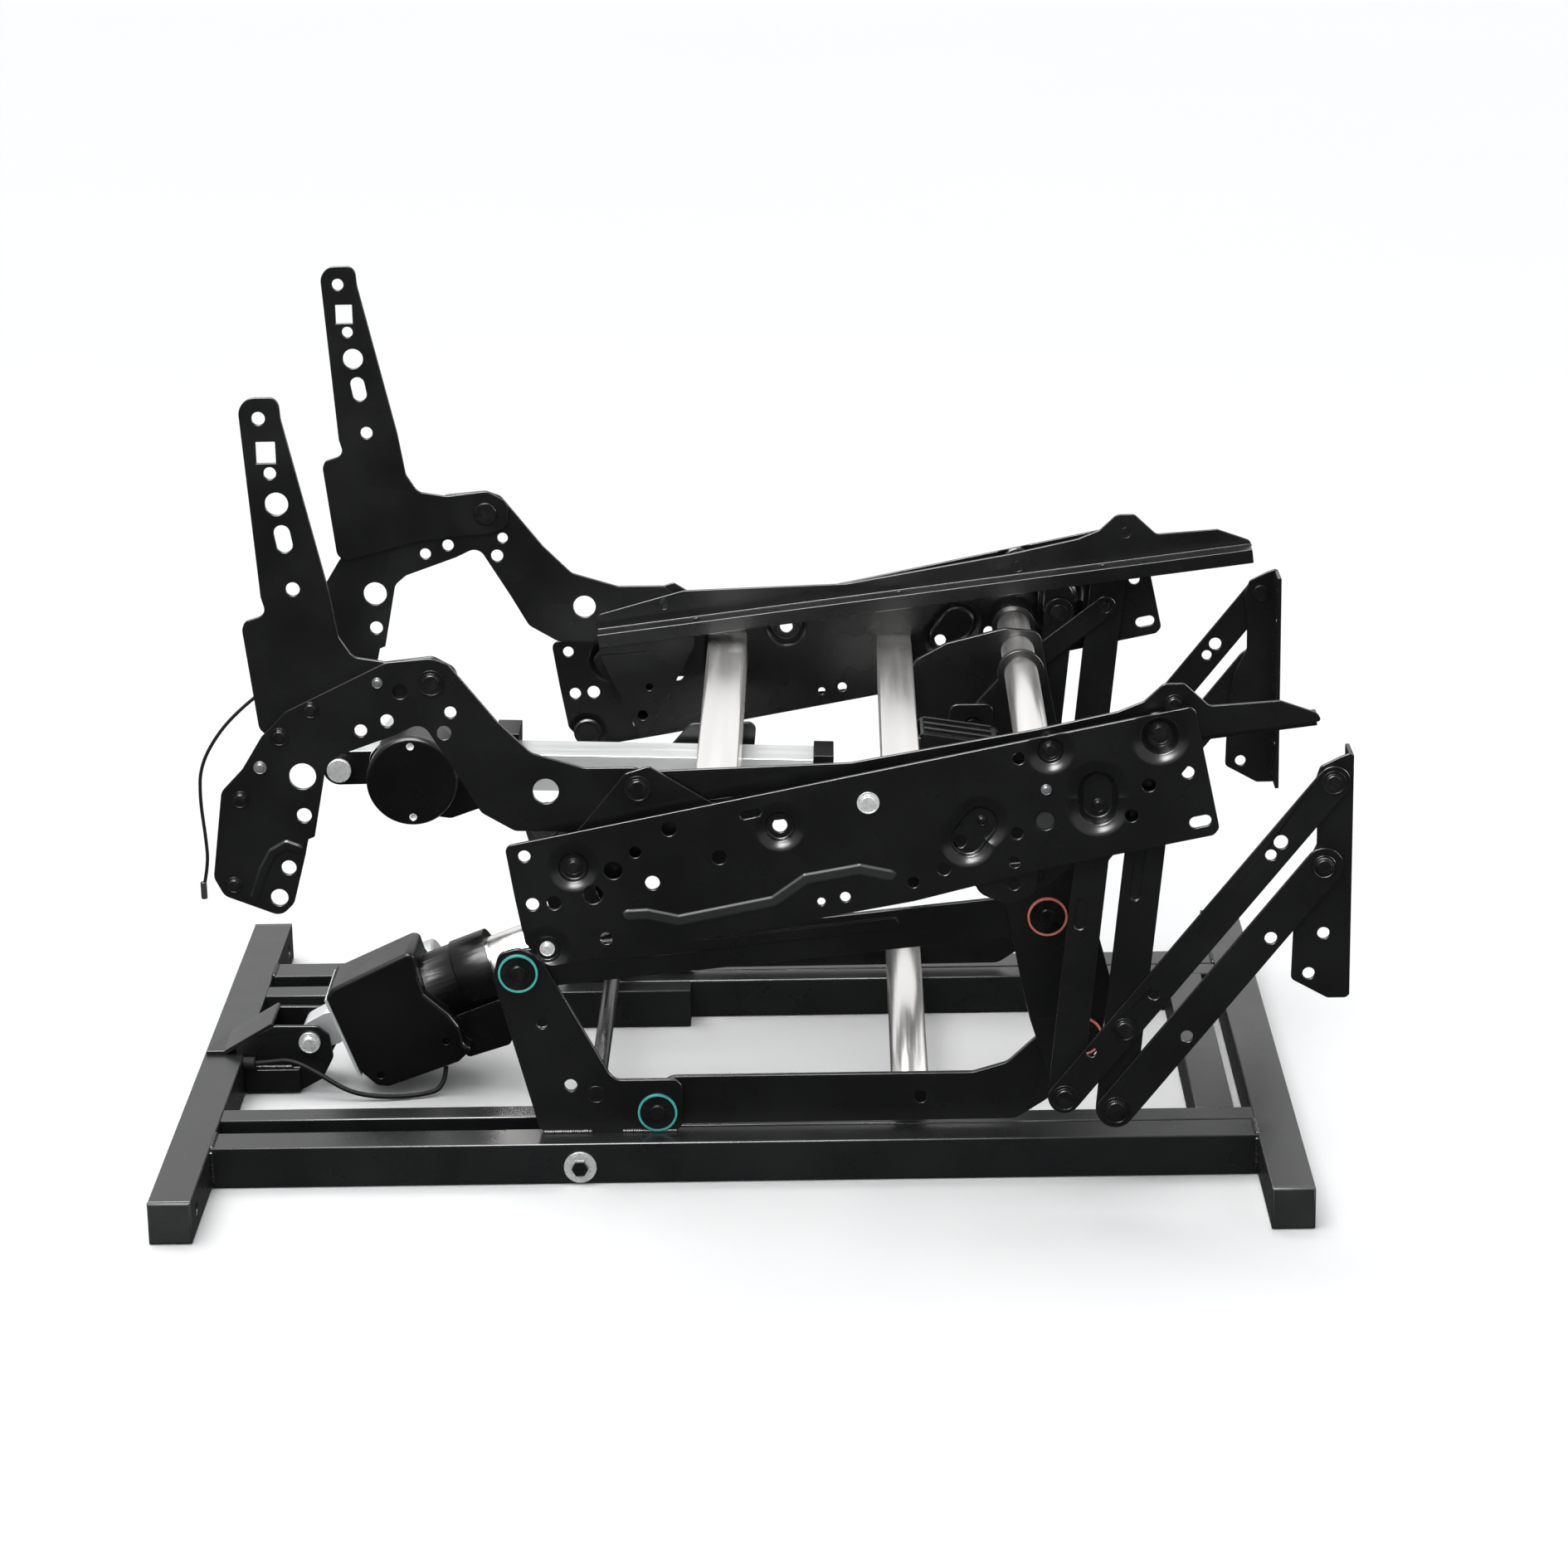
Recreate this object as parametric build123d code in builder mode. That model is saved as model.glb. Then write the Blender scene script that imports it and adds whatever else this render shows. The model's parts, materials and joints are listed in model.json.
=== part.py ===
"""Recliner lift mechanism: base, lift linkage, seat frame, footrest linkage, recline drive and back brackets.

X runs forward, Y across the chair, Z up, all in mm. The near side (Y negative) is modelled and mirrored.
"""
import os
from math import atan2, cos, degrees, hypot, radians, sin, tan

from build123d import *

os.makedirs("parts", exist_ok=True)

# Running fits and gaps
running = 0.05
open_gap = 0.4
side_gap = 0.5

# Floor base
tube = 30.0
wall = 2.0
rear_face = -412.5
base_length = 800.0
half_width = 297.0
cap_head = 4.0
cap_plug = 14.0
cap_play = 0.1
rail_in, rail_out = 167.0, 197.0
inner_rear_in, inner_rear_out = 121.0, 143.0
inner_front_in, inner_front_out = 143.0, 165.0
inner_rear_end = -52.5
inner_front_start = -112.5
inner_tube_back = 40.0
inner_tube_depth = 28.0
rear_inner_face = rear_face + tube
front_inner_face = rear_face + base_length - tube
inner_tube_x = front_inner_face - inner_tube_back
locating_hole = 5.0
locating_inset = 27.0
locating_hole_y = half_width - locating_inset

# Lift linkage pivots in the side view (X, Z)
pivot_1 = (-161.5, 150.7)
pivot_2 = (210.3, 187.1)
pivot_3 = (-66.2, 44.8)
pivot_4 = (234.8, 98.0)
link_in, link_out = 164.0, 169.0
post_in, post_out = 170.0, 175.0
pin_r = 6.0
pin_head_r = 12.3
pin_head = 2.0
ring_r = 14.0
ring_inner_r = 12.5
ring_height = 2.4
open_hole_4 = pin_r + 3.6
bright_tube_r = 12.7
lift_tube_at = (113.5, 51.5)
lift_tube_r = 13.5
tie_rod_r = 6.0
tie_rod_at = (-109.5, 59.0)

# Seat frame: its flat sheets are placed from the side plates inward
sheet_3 = 3.0
plate_in = 261.0
plate_out = plate_in + sheet_3
tube_a_at = (-20.5, 265.0)
tube_a = 30.0
tube_b_at = (110.5, 255.0)
tube_b_x, tube_b_z = 27.0, 40.0
torque_at = (204.5, 285.0)
stub_r = 6.45
stub_end = plate_in + 2.0
web_in = plate_in - 19.0
web_out = web_in + sheet_3
arm_in = web_out
arm_out = arm_in + sheet_3
tab_in = arm_out
tab_out = tab_in + sheet_3
flange_in = web_in - 18.0
gusset_in = web_in - 15.0
lug_in = plate_in - sheet_3
dish_gap = 0.3
dish_taper = 30.0
dish_rim = 1.7
ridge_height = 1.2
shallow = 2.5
rear_rivet_at = (-69.8, 308.2)
front_bush_at = (208.0, 334.2)
hump_rivet_at = (292.2, 359.7)
tab_bush_at = (-114.2, 257.2)
gusset_bush_at = (-88.0, 222.0)

# Back
back_out = arm_in - side_gap
back_in = back_out - sheet_3
back_pivot = (-206.6, 383.4)
back_rivet_r = 5.0

# Footrest pivots (X, Z)
leg_rear_top = (240.8, 293.6)
leg_front_top = (281.5, 343.4)
knee = (258.7, 132.8)
rear_foot = (knee[0] - (leg_front_top[0] - leg_rear_top[0]), knee[1] - (leg_front_top[1] - leg_rear_top[1]))
front_foot = (253.2, 73.6)
board_top = (398.9, 306.9)
board_low = (board_top[0] + front_foot[0] - knee[0], board_top[1] + front_foot[1] - knee[1])
leg_gap = 0.6
inner_leg_in = tab_out
inner_leg_out = inner_leg_in + sheet_3
outer_leg_in = inner_leg_out + leg_gap
outer_leg_out = outer_leg_in + sheet_3
dish_depth = plate_in - inner_leg_out - dish_gap
rivet_r = 4.0
rivet_head_r = 8.2
rivet_head = 2.0
drive_out = inner_leg_in - 1.0
drive_in = drive_out - sheet_3
crank_out = drive_in - leg_gap
crank_in = crank_out - sheet_3
crank_r = 45.0

# Lift actuator: distances along its axis from the clevis pin
clevis_at = (-332.9, 39.2)
actuator_angle = 20.66
actuator_y = 16.0
actuator_length = 500.0
clevis_pin_r = 5.0
push_pin_r = 5.0
push_eye_hole = push_pin_r + 3.3
rod_r = 10.0
guide_r = 20.0
guide_start, guide_end = 106.0, 182.0
rod_start = 112.0

# Recline actuator
channel_in, channel_out = 57.0, 95.0
channel_rear, channel_front = -176.0, 47.2
channel_top = 242.0
channel_tall = 28.0
channel_slope = 2.0
push_crank_r = 55.0
push_crank_angle = -132.5
push_pin_small = 5.0
arm_plate_in, arm_plate_out = 100.0, 104.0


def side(y):
    """Sketch plane at distance y on the near side: local x is X, local y is Z, extruding goes outward."""
    return Plane(origin=(0, -y, 0), x_dir=(1, 0, 0), z_dir=(0, -1, 0))


def across(y):
    """Sketch plane at the real Y value y, facing away from the camera: local x is X, local y is -Z."""
    return Plane(origin=(0, y, 0), x_dir=(1, 0, 0), z_dir=(0, 1, 0))


def outline(points, round_r):
    """Closed face through the points with rounded corners; a third value is that corner's own radius."""
    radii = []
    count = len(points)
    for i in range(count):
        px, pz = points[i - 1][:2]
        x, z = points[i][:2]
        nx, nz = points[(i + 1) % count][:2]
        wanted = points[i][2] if len(points[i]) > 2 else round_r
        before = hypot(x - px, z - pz)
        after = hypot(nx - x, nz - z)
        turn = atan2(nz - z, nx - x) - atan2(z - pz, x - px)
        turn = abs((turn + radians(540)) % radians(360) - radians(180))
        limit = 0.45 * min(before, after) / max(tan(turn / 2), 0.01)
        radii.append(min(wanted, limit))
    return make_face(FilletPolyline(*[point[:2] for point in points], radius=radii, close=True))


def disc(at, r):
    return Pos(at[0], at[1]) * Circle(r)


def slot(at, length, width, angle):
    return Pos(at[0], at[1]) * Rot(0, 0, angle) * SlotOverall(length, width)


def bar(a, b, width):
    """Straight link outline with round ends about the points a and b."""
    middle = ((a[0] + b[0]) / 2, (a[1] + b[1]) / 2)
    angle = degrees(atan2(b[1] - a[1], b[0] - a[0]))
    run = hypot(b[0] - a[0], b[1] - a[1])
    return slot(middle, run + width, width, angle)


def sheet(face, y_in, y_out):
    """Flat plate between two distances on the near side."""
    return extrude(side(y_in) * face, amount=y_out - y_in)


def pin(at, r, y_in, y_out):
    return sheet(disc(at, r), y_in, y_out)


def headed_pin(at, r, y_in, y_out, head_r, head):
    """Rivet with its shank from y_in to y_out and a stepped head outside it."""
    shank = pin(at, r, y_in, y_out)
    rim = pin(at, head_r, y_out, y_out + 0.6 * head)
    crown = extrude(side(y_out + 0.6 * head) * disc(at, 0.62 * head_r), amount=0.4 * head, taper=25)
    groove = sheet(disc(at, 0.9 * head_r) - disc(at, 0.76 * head_r), y_out + 0.35 * head, y_out + 0.6 * head)
    return shank + rim + crown - groove


def tail(at, head_r, y_in, height):
    """Closing head on the inner side of a plate."""
    return extrude(across(-y_in) * (Pos(at[0], -at[1]) * Circle(head_r)), amount=height, taper=20)


def rod_across(at, r, y_from, y_to):
    """Round bar along Y between two real Y values."""
    return extrude(across(y_from) * (Pos(at[0], -at[1]) * Circle(r)), amount=y_to - y_from)


def dished(plate, face_at, y_in, y_out, depth, taper):
    """Press a face outline into the plate from outside: a recess with its bulge on the inner side."""
    wide = offset(face_at, amount=dish_rim)
    bulge = extrude(across(-y_in) * mirror(wide, about=Plane.XZ), amount=depth, taper=taper)
    recess = extrude(across(-y_out) * mirror(face_at, about=Plane.XZ), amount=depth, taper=taper)
    return plate + bulge - recess


def raised_line(points, width, y_face):
    """Pressed ridges along the points, standing on the outer face of a plate."""
    solids = []
    for a, b in zip(points, points[1:]):
        solids.append(extrude(side(y_face) * bar(a, b, width), amount=ridge_height, taper=45))
    return solids


def square_tube(at, length, size, thick, axis, corner=1.2):
    """Hollow rectangular tube about a point; size is its outer size, its open ends lie along the axis."""
    names = [Axis.X, Axis.Y, Axis.Z]
    solid = fillet(Box(*size).edges().filter_by(names[axis]), corner)
    inside = [value - 2 * thick for value in size]
    inside[axis] = length
    return Pos(*at) * (solid - Box(*inside))


# Base tubes
cross_half = half_width - cap_head

cross_size = (tube, 2 * cross_half, tube)
rear_tube_at = (rear_face + tube / 2, 0, tube / 2)
front_tube_at = (front_inner_face + tube / 2, 0, tube / 2)
rear_tube_solid = square_tube(rear_tube_at, 2 * cross_half, cross_size, wall, 1)
for way in (-1, 1):
    rear_tube_solid -= Pos(rear_inner_face, way * locating_hole_y, tube / 2) * Rot(0, 90, 0) * Cylinder(
        locating_hole, 6 * wall)
front_tube_solid = square_tube(front_tube_at, 2 * cross_half, cross_size, wall, 1)

with BuildPart() as rear_cross_tube:
    add(rear_tube_solid)
rear_cross_tube.part.label = "rear_cross_tube"
export_step(rear_cross_tube.part, "parts/rear_cross_tube.step")

with BuildPart() as front_cross_tube:
    add(front_tube_solid)
front_cross_tube.part.label = "front_cross_tube"
export_step(front_cross_tube.part, "parts/front_cross_tube.step")

with BuildPart() as tube_end_caps:
    for x in (rear_tube_at[0], front_tube_at[0]):
        with Locations((x, -cross_half - cap_head / 2, tube / 2)):
            Box(tube, cap_head, tube)
    fillet(tube_end_caps.faces().filter_by(Axis.Y).sort_by(Axis.Y)[:2].edges(), 1.5)
    for x in (rear_tube_at[0], front_tube_at[0]):
        with Locations((x, -cross_half + cap_plug / 2, tube / 2)):
            Box(tube - 2 * wall - 2 * cap_play, cap_plug, tube - 2 * wall - 2 * cap_play)
    mirror(about=Plane.XZ)
tube_end_caps.part.label = "tube_end_caps"
export_step(tube_end_caps.part, "parts/tube_end_caps.step")

rail_length = front_inner_face - rear_inner_face
rail_middle = (front_inner_face + rear_inner_face) / 2

rail_size = (rail_length, rail_out - rail_in, tube)
rail_at = (rail_middle, -(rail_in + rail_out) / 2, tube / 2)
side_rail_solid = square_tube(rail_at, rail_length, rail_size, wall, 0)
inner_rail_solids = []
for start, end, near, far in (
    (rear_inner_face, inner_rear_end, inner_rear_in, inner_rear_out),
    (inner_front_start, front_inner_face, inner_front_in, inner_front_out),
):
    inner_rail_solids.append(
        square_tube(((start + end) / 2, -(near + far) / 2, tube / 2), end - start,
                    (end - start, far - near, tube), wall, 0))
inner_tube_solid = square_tube((inner_tube_x + inner_tube_depth / 2, 0, tube / 2), 2 * inner_front_in,
                               (inner_tube_depth, 2 * inner_front_in, tube), wall, 1)

with BuildPart() as side_rails:
    add(side_rail_solid)
    mirror(about=Plane.XZ)
side_rails.part.label = "side_rails"
export_step(side_rails.part, "parts/side_rails.step")

with BuildPart() as inner_rails:
    add(inner_rail_solids)
    mirror(about=Plane.XZ)
inner_rails.part.label = "inner_rails"
export_step(inner_rails.part, "parts/inner_rails.step")

with BuildPart() as inner_cross_tube:
    add(inner_tube_solid)
inner_cross_tube.part.label = "inner_cross_tube"
export_step(inner_cross_tube.part, "parts/inner_cross_tube.step")

# Pedestals: fixed L plates that carry the lower pivots of the lift links
pedestal_face = outline(
    [
        (-149.6, 30.0),
        (-179.5, 147.0),
        (-175.0, 165.0),
        (-161.0, 168.5),
        (-146.0, 162.0),
        (-99.4, 73.3),
        (-94.8, 68.9),
        (-47.8, 68.9),
        (-48.8, 30.0),
    ],
    8.0,
)
pedestal_face -= disc((-146.2, 112.8), 4.2)
pedestal_face -= disc((-127.3, 65.6), 4.6)
pedestal_face -= disc(pivot_1, pin_r)
pedestal_face -= disc(pivot_3, pin_r)
pedestal_face -= disc(tie_rod_at, tie_rod_r)

pieces = []
pieces.append(sheet(pedestal_face, post_in, post_out))

with BuildPart() as pedestals:
    add(pieces)
    mirror(about=Plane.XZ)
pedestals.part.label = "pedestals"
export_step(pedestals.part, "parts/pedestals.step")

pieces = []
pieces.append(extrude(side(-post_out) * disc(tie_rod_at, tie_rod_r), amount=2 * post_out))

with BuildPart() as pedestal_tie_rod:
    add(pieces)
pedestal_tie_rod.part.label = "pedestal_tie_rod"
export_step(pedestal_tie_rod.part, "parts/pedestal_tie_rod.step")

hub_r = 5.6
tail_r = 9.0
tail_height = 3.0


def pivot_pin(at):
    """Lift pivot: shank through post and link, flat head with a hub outside and a tail inside."""
    body = pin(at, pin_r, link_in - side_gap, post_out)
    head = pin(at, pin_head_r, post_out, post_out + pin_head)
    hub = extrude(side(post_out + pin_head) * disc(at, hub_r), amount=1.5, taper=15)
    return body + head + hub + tail(at, tail_r, link_in - side_gap, tail_height)


def bush_ring(at):
    """Thin coloured rim around a pivot head."""
    return sheet(disc(at, ring_r) - disc(at, ring_inner_r), post_out, post_out + ring_height)


pieces = []
pieces.append(pivot_pin(pivot_1))
pieces.append(pivot_pin(pivot_3))

with BuildPart() as pedestal_pins:
    add(pieces)
    mirror(about=Plane.XZ)
pedestal_pins.part.label = "pedestal_pins"
export_step(pedestal_pins.part, "parts/pedestal_pins.step")

pieces = []
pieces.append(bush_ring(pivot_1))
pieces.append(bush_ring(pivot_3))

with BuildPart() as pedestal_rings:
    add(pieces)
    mirror(about=Plane.XZ)
pedestal_rings.part.label = "pedestal_rings"
export_step(pedestal_rings.part, "parts/pedestal_rings.step")

# Clevis bracket on the rear tube
clevis_face = outline(
    [
        (rear_inner_face, 1.0, 0),
        (-340.5, 1.0),
        (-324.5, 9.8),
        (-316.0, 26.3),
        (-318.0, 44.0),
        (-326.5, 51.3),
        (-359.5, 51.8),
        (-388.5, 34.7),
        (-388.5, tube, 0),
        (rear_inner_face, tube, 0),
    ],
    5.0,
)
clevis_face -= disc(clevis_at, clevis_pin_r)
clevis_near = 7.0
clevis_thick = 4.0
clevis_far = 36.0
block_near, block_far = 12.0, 46.0
block_top = 19.0
block_front = -341.0

pieces = []
pieces.append(sheet(clevis_face, clevis_near - clevis_thick, clevis_near))
pieces.append(sheet(clevis_face, -clevis_far - clevis_thick, -clevis_far))
block_place = Pos((rear_inner_face + block_front) / 2, (block_far - block_near) / 2, (1.0 + block_top) / 2)
pieces.append(block_place * Box(block_front - rear_inner_face, block_far + block_near, block_top - 1.0))

strap_rear = rear_face + 1.5
strap_face = make_face(Polyline(
    (-359.5, 51.8),
    (-388.5, 34.7),
    (-396.5, tube),
    (strap_rear, tube),
    (strap_rear, tube + sheet_3),
    (-397.3, tube + sheet_3),
    (-361.0, 54.4),
    close=True,
))
strap_far = clevis_far + clevis_thick
strap_solid = extrude(side(-strap_far) * strap_face, amount=strap_far + clevis_near)
strap_cut = make_face(Polyline(
    (strap_rear - 1.0, -clevis_near - 1.0),
    (strap_rear - 1.0, strap_far + 1.0),
    (strap_rear + 12.0, strap_far + 1.0),
    close=True,
))
strap_solid -= extrude(Plane.XY.offset(tube - 1) * strap_cut, amount=10)
pieces.append(strap_solid)

with BuildPart() as actuator_clevis:
    add(pieces)
actuator_clevis.part.label = "actuator_clevis"
export_step(actuator_clevis.part, "parts/actuator_clevis.step")

bolt_head_r = 8.0
bolt_head = 5.0

pieces = []
pieces.append(pin(clevis_at, clevis_pin_r, -clevis_far - clevis_thick, clevis_near))
pieces.append(headed_pin(clevis_at, clevis_pin_r, 0, clevis_near, bolt_head_r, bolt_head))
nut_face = Pos(clevis_at[0], -clevis_at[1]) * RegularPolygon(bolt_head_r, 6)
pieces.append(extrude(across(clevis_far + clevis_thick) * nut_face, amount=bolt_head))

with BuildPart() as clevis_bolt:
    add(pieces)
clevis_bolt.part.label = "clevis_bolt"
export_step(clevis_bolt.part, "parts/clevis_bolt.step")

rail_bolt_at = (-121.0, 12.5)
washer_r = 11.5

pieces = []
washer = 1.5
hex_face = Pos(*rail_bolt_at) * RegularPolygon(6.0, 6)
pieces.append(pin(rail_bolt_at, washer_r, rail_out, rail_out + washer))
pieces.append(extrude(side(rail_out + washer) * hex_face, amount=3.5))

with BuildPart() as rail_bolts:
    add(pieces)
    mirror(about=Plane.XZ)
rail_bolts.part.label = "rail_bolts"
export_step(rail_bolts.part, "parts/rail_bolts.step")

# Lift links
upper_width = 29.0
rib_width = 9.0
rib_height = 0.9
rib_from, rib_to = (-100.0, 160.5), (102.0, 181.5)

pieces = []
face = bar(pivot_1, pivot_2, upper_width)
face -= disc(pivot_1, pin_r + running)
face -= disc(pivot_2, pin_r + running)
pieces.append(sheet(face, link_in, link_out))
pieces.append(extrude(side(link_out) * bar(rib_from, rib_to, rib_width), amount=rib_height, taper=30))

with BuildPart() as upper_links:
    add(pieces)
    mirror(about=Plane.XZ)
upper_links.part.label = "upper_links"
export_step(upper_links.part, "parts/upper_links.step")

lower_face = outline(
    [
        (-62.0, 33.0),
        (-76.0, 33.0),
        (-79.0, 45.0),
        (-74.0, 57.0),
        (-56.0, 69.0),
        (158.0, 69.0),
        (182.1, 76.0),
        (221.0, 112.0),
        (240.0, 113.0),
        (250.5, 99.0),
        (246.0, 84.0),
        (210.2, 48.0),
        (188.0, 33.6),
    ],
    14.0,
)
lower_face -= disc(pivot_3, pin_r + running)
lower_face -= disc(pivot_4, open_hole_4)
lower_face -= disc((120.7, 51.4), 4.6)

pieces = []
pieces.append(sheet(lower_face, link_in, link_out))

with BuildPart() as lower_links:
    add(pieces)
    mirror(about=Plane.XZ)
lower_links.part.label = "lower_links"
export_step(lower_links.part, "parts/lower_links.step")

bright_wall = 2.0

pieces = []
ring = disc(lift_tube_at, lift_tube_r) - disc(lift_tube_at, lift_tube_r - bright_wall)
pieces.append(extrude(side(-link_in) * ring, amount=2 * link_in))

with BuildPart() as lift_cross_tube:
    add(pieces)
lift_cross_tube.part.label = "lift_cross_tube"
export_step(lift_cross_tube.part, "parts/lift_cross_tube.step")

# Risers: plates welded to the front of the centre tube that hang the frame on the lift links
tube_b_front = tube_b_at[0] + tube_b_x / 2
riser_face = outline(
    [
        (212.3, 64.0),
        (197.7, 111.2),
        (190.2, 147.2),
        (181.1, 196.5),
        (150.0, 216.0),
        (tube_b_front, 222.0),
        (tube_b_front, 278.0),
        (150.0, 292.0),
        (195.0, 303.0),
        (222.0, 300.0),
        (230.0, 250.0),
        (245.5, 174.7),
        (254.3, 140.7),
        (254.3, 130.8),
        (249.0, 100.0),
        (240.0, 74.0),
        (226.0, 62.0),
    ],
    9.0,
)
riser_face -= disc(torque_at, bright_tube_r + running)
riser_face -= disc(pivot_2, pin_r)
riser_face -= disc(pivot_4, pin_r)

pieces = []
pieces.append(sheet(riser_face, post_in, post_out))

with BuildPart() as risers:
    add(pieces)
    mirror(about=Plane.XZ)
risers.part.label = "risers"
export_step(risers.part, "parts/risers.step")

pieces = []
pieces.append(pivot_pin(pivot_2))
pieces.append(pin(pivot_4, pin_r, link_in - side_gap, post_out))
pieces.append(pin(pivot_4, pin_head_r, post_out, post_out + pin_head))
pieces.append(extrude(side(post_out + pin_head) * disc(pivot_4, hub_r), amount=1.5, taper=15))
pieces.append(tail(pivot_4, pin_head_r, link_in - side_gap, tail_height))

with BuildPart() as riser_pins:
    add(pieces)
    mirror(about=Plane.XZ)
riser_pins.part.label = "riser_pins"
export_step(riser_pins.part, "parts/riser_pins.step")

pieces = []
pieces.append(bush_ring(pivot_2))
pieces.append(bush_ring(pivot_4))

with BuildPart() as riser_rings:
    add(pieces)
    mirror(about=Plane.XZ)
riser_rings.part.label = "riser_rings"
export_step(riser_rings.part, "parts/riser_rings.step")

# Bright cross tubes of the seat frame
rear_seat_solid = square_tube((tube_a_at[0], 0, tube_a_at[1]), 2 * plate_in, (tube_a, 2 * plate_in, tube_a),
                              wall, 1, 2.5)
centre_seat_solid = square_tube((tube_b_at[0], 0, tube_b_at[1]), 2 * plate_in,
                                (tube_b_x, 2 * plate_in, tube_b_z), wall, 1)

with BuildPart() as rear_seat_tube:
    add(rear_seat_solid)
rear_seat_tube.part.label = "rear_seat_tube"
export_step(rear_seat_tube.part, "parts/rear_seat_tube.step")

with BuildPart() as centre_seat_tube:
    add(centre_seat_solid)
centre_seat_tube.part.label = "centre_seat_tube"
export_step(centre_seat_tube.part, "parts/centre_seat_tube.step")

# Side plates: pressed sheet with dished rivet seats and many holes
side_face = outline(
    [
        (-160.2, 272.6),
        (304.3, 363.5),
        (321.8, 277.9),
        (318.0, 273.0),
        (199.0, 249.9),
        (115.9, 229.3),
        (-69.4, 196.5),
        (-130.1, 186.7),
        (-135.0, 187.4),
        (-148.8, 203.1),
        (-154.8, 237.1),
    ],
    5.0,
)
side_holes = [
    ((-147.1, 265.3), 4.2),
    ((-87.4, 254.4), 6.2),
    ((-72.1, 267.1), 4.0),
    ((-61.0, 245.1), 5.0),
    ((-49.0, 283.2), 5.0),
    ((-15.4, 262.7), 5.0),
    ((-142.7, 231.0), 4.5),
    ((-128.0, 231.9), 5.0),
    ((-101.4, 237.4), 6.7),
    ((-93.4, 206.1), 4.3),
    ((25.9, 283.8), 5.0),
    ((53.0, 230.0), 2.8),
    ((69.3, 233.0), 3.6),
    ((115.5, 242.9), 3.9),
    ((136.3, 252.0), 4.5),
    ((147.1, 270.7), 4.6),
    ((185.6, 276.5), 4.2),
    ((183.9, 256.0), 3.9),
    ((186.9, 329.0), 4.2),
    ((274.2, 309.0), 4.6),
    ((262.6, 287.6), 4.4),
    ((300.3, 317.3), 4.3),
]
side_dishes = [
    (tab_bush_at, 10.5),
    ((-133.9, 198.7), 9.5),
    ((25.9, 283.8), 10.5),
    (front_bush_at, 9.0),
]
leg_dish_r = 13.0
oval_centre = (240.0, 300.5)
crease = [
    (-78.0, 222.5),
    (-65.0, 223.0),
    (-44.0, 218.2),
    (21.0, 230.8),
    (43.0, 246.4),
    (79.0, 252.6),
    (100.0, 248.0),
]
crease_width = 8.0

side_plate_solid = sheet(side_face, plate_in, plate_out)
dishes = [(disc(at, r), shallow) for at, r in side_dishes]
dishes.append((slot((156.6, 278.2), 38.0, 24.0, 52.0), shallow))
dishes.append((slot(oval_centre, 38.0, 27.0, 90.0), dish_depth))
dishes.append((disc(leg_front_top, leg_dish_r), dish_depth))
for dish_face, depth in dishes:
    side_plate_solid = dished(side_plate_solid, dish_face, plate_in, plate_out, depth, dish_taper)
hole_cut = slot((6.5, 293.1), 15.0, 6.0, 11.0) + slot((308.9, 282.8), 15.0, 8.0, 11.0)
for at, r in side_holes:
    hole_cut += disc(at, r)
hole_cut += disc(torque_at, stub_r + running)
hole_cut += disc(leg_rear_top, rivet_r)
hole_cut += disc(leg_front_top, rivet_r)
hole_cut += disc(tab_bush_at, rivet_r)
hole_cut += disc(front_bush_at, rivet_r)
side_plate_solid -= extrude(side(plate_in - 2 * dish_depth) * hole_cut, amount=4 * dish_depth)
for solid in raised_line(crease, crease_width, plate_out):
    side_plate_solid += solid

with BuildPart() as side_plate_right:
    add(side_plate_solid)
side_plate_right.part.label = "side_plate_right"
export_step(side_plate_right.part, "parts/side_plate_right.step")

with BuildPart() as side_plate_left:
    add(mirror(side_plate_solid, about=Plane.XZ))
side_plate_left.part.label = "side_plate_left"
export_step(side_plate_left.part, "parts/side_plate_left.step")

# Seat rails: web with an inward flange and a down-turned lip along the bottom line
rail_rear, rail_front = (-123.5, 285.2), (391.5, 346.3)
rail_rise = (rail_front[1] - rail_rear[1]) / (rail_front[0] - rail_rear[0])
rail_run = hypot(rail_front[0] - rail_rear[0], rail_front[1] - rail_rear[1])
rail_angle = degrees(atan2(rail_front[1] - rail_rear[1], rail_front[0] - rail_rear[0]))


def under_rail(x):
    """Point on the bottom line of the seat rail at distance x."""
    return (x, rail_rear[1] + rail_rise * (x - rail_rear[0]))


web_face = outline(
    [
        rail_rear,
        (-122.5, 300.0),
        (-54.5, 318.5),
        (73.5, 322.0),
        (200.0, 343.5),
        (254.5, 355.0),
        (272.0, 362.0),
        (285.0, 374.0),
        (299.0, 374.0),
        (316.0, 358.0),
        (363.5, 361.0),
        (388.5, 352.0),
        rail_front,
    ],
    5.0,
)
web_face -= disc(rear_rivet_at, rivet_r)
web_face -= disc(front_bush_at, rivet_r)
web_face -= disc(hump_rivet_at, rivet_r)
lip = 8.0
along = Location((rail_rear[0], 0, rail_rear[1]), (0, -rail_angle, 0))
flange_solid = along * Pos(rail_run / 2, -(flange_in + web_out) / 2, sheet_3 / 2) * Box(
    rail_run - 4, web_out - flange_in, sheet_3)
lip_solid = along * Pos(rail_run / 2, -flange_in - sheet_3 / 2, (sheet_3 - lip) / 2) * Box(
    rail_run - 4, sheet_3, lip + sheet_3)
seat_rail_solid = sheet(web_face, web_in, web_out) + flange_solid + lip_solid
for place in (80.0, 240.0, 400.0):
    seat_rail_solid -= along * Pos(place, -flange_in - 11, 0) * Cylinder(3.2, 20)

with BuildPart() as seat_rail_right:
    add(seat_rail_solid)
seat_rail_right.part.label = "seat_rail_right"
export_step(seat_rail_right.part, "parts/seat_rail_right.step")

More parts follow.
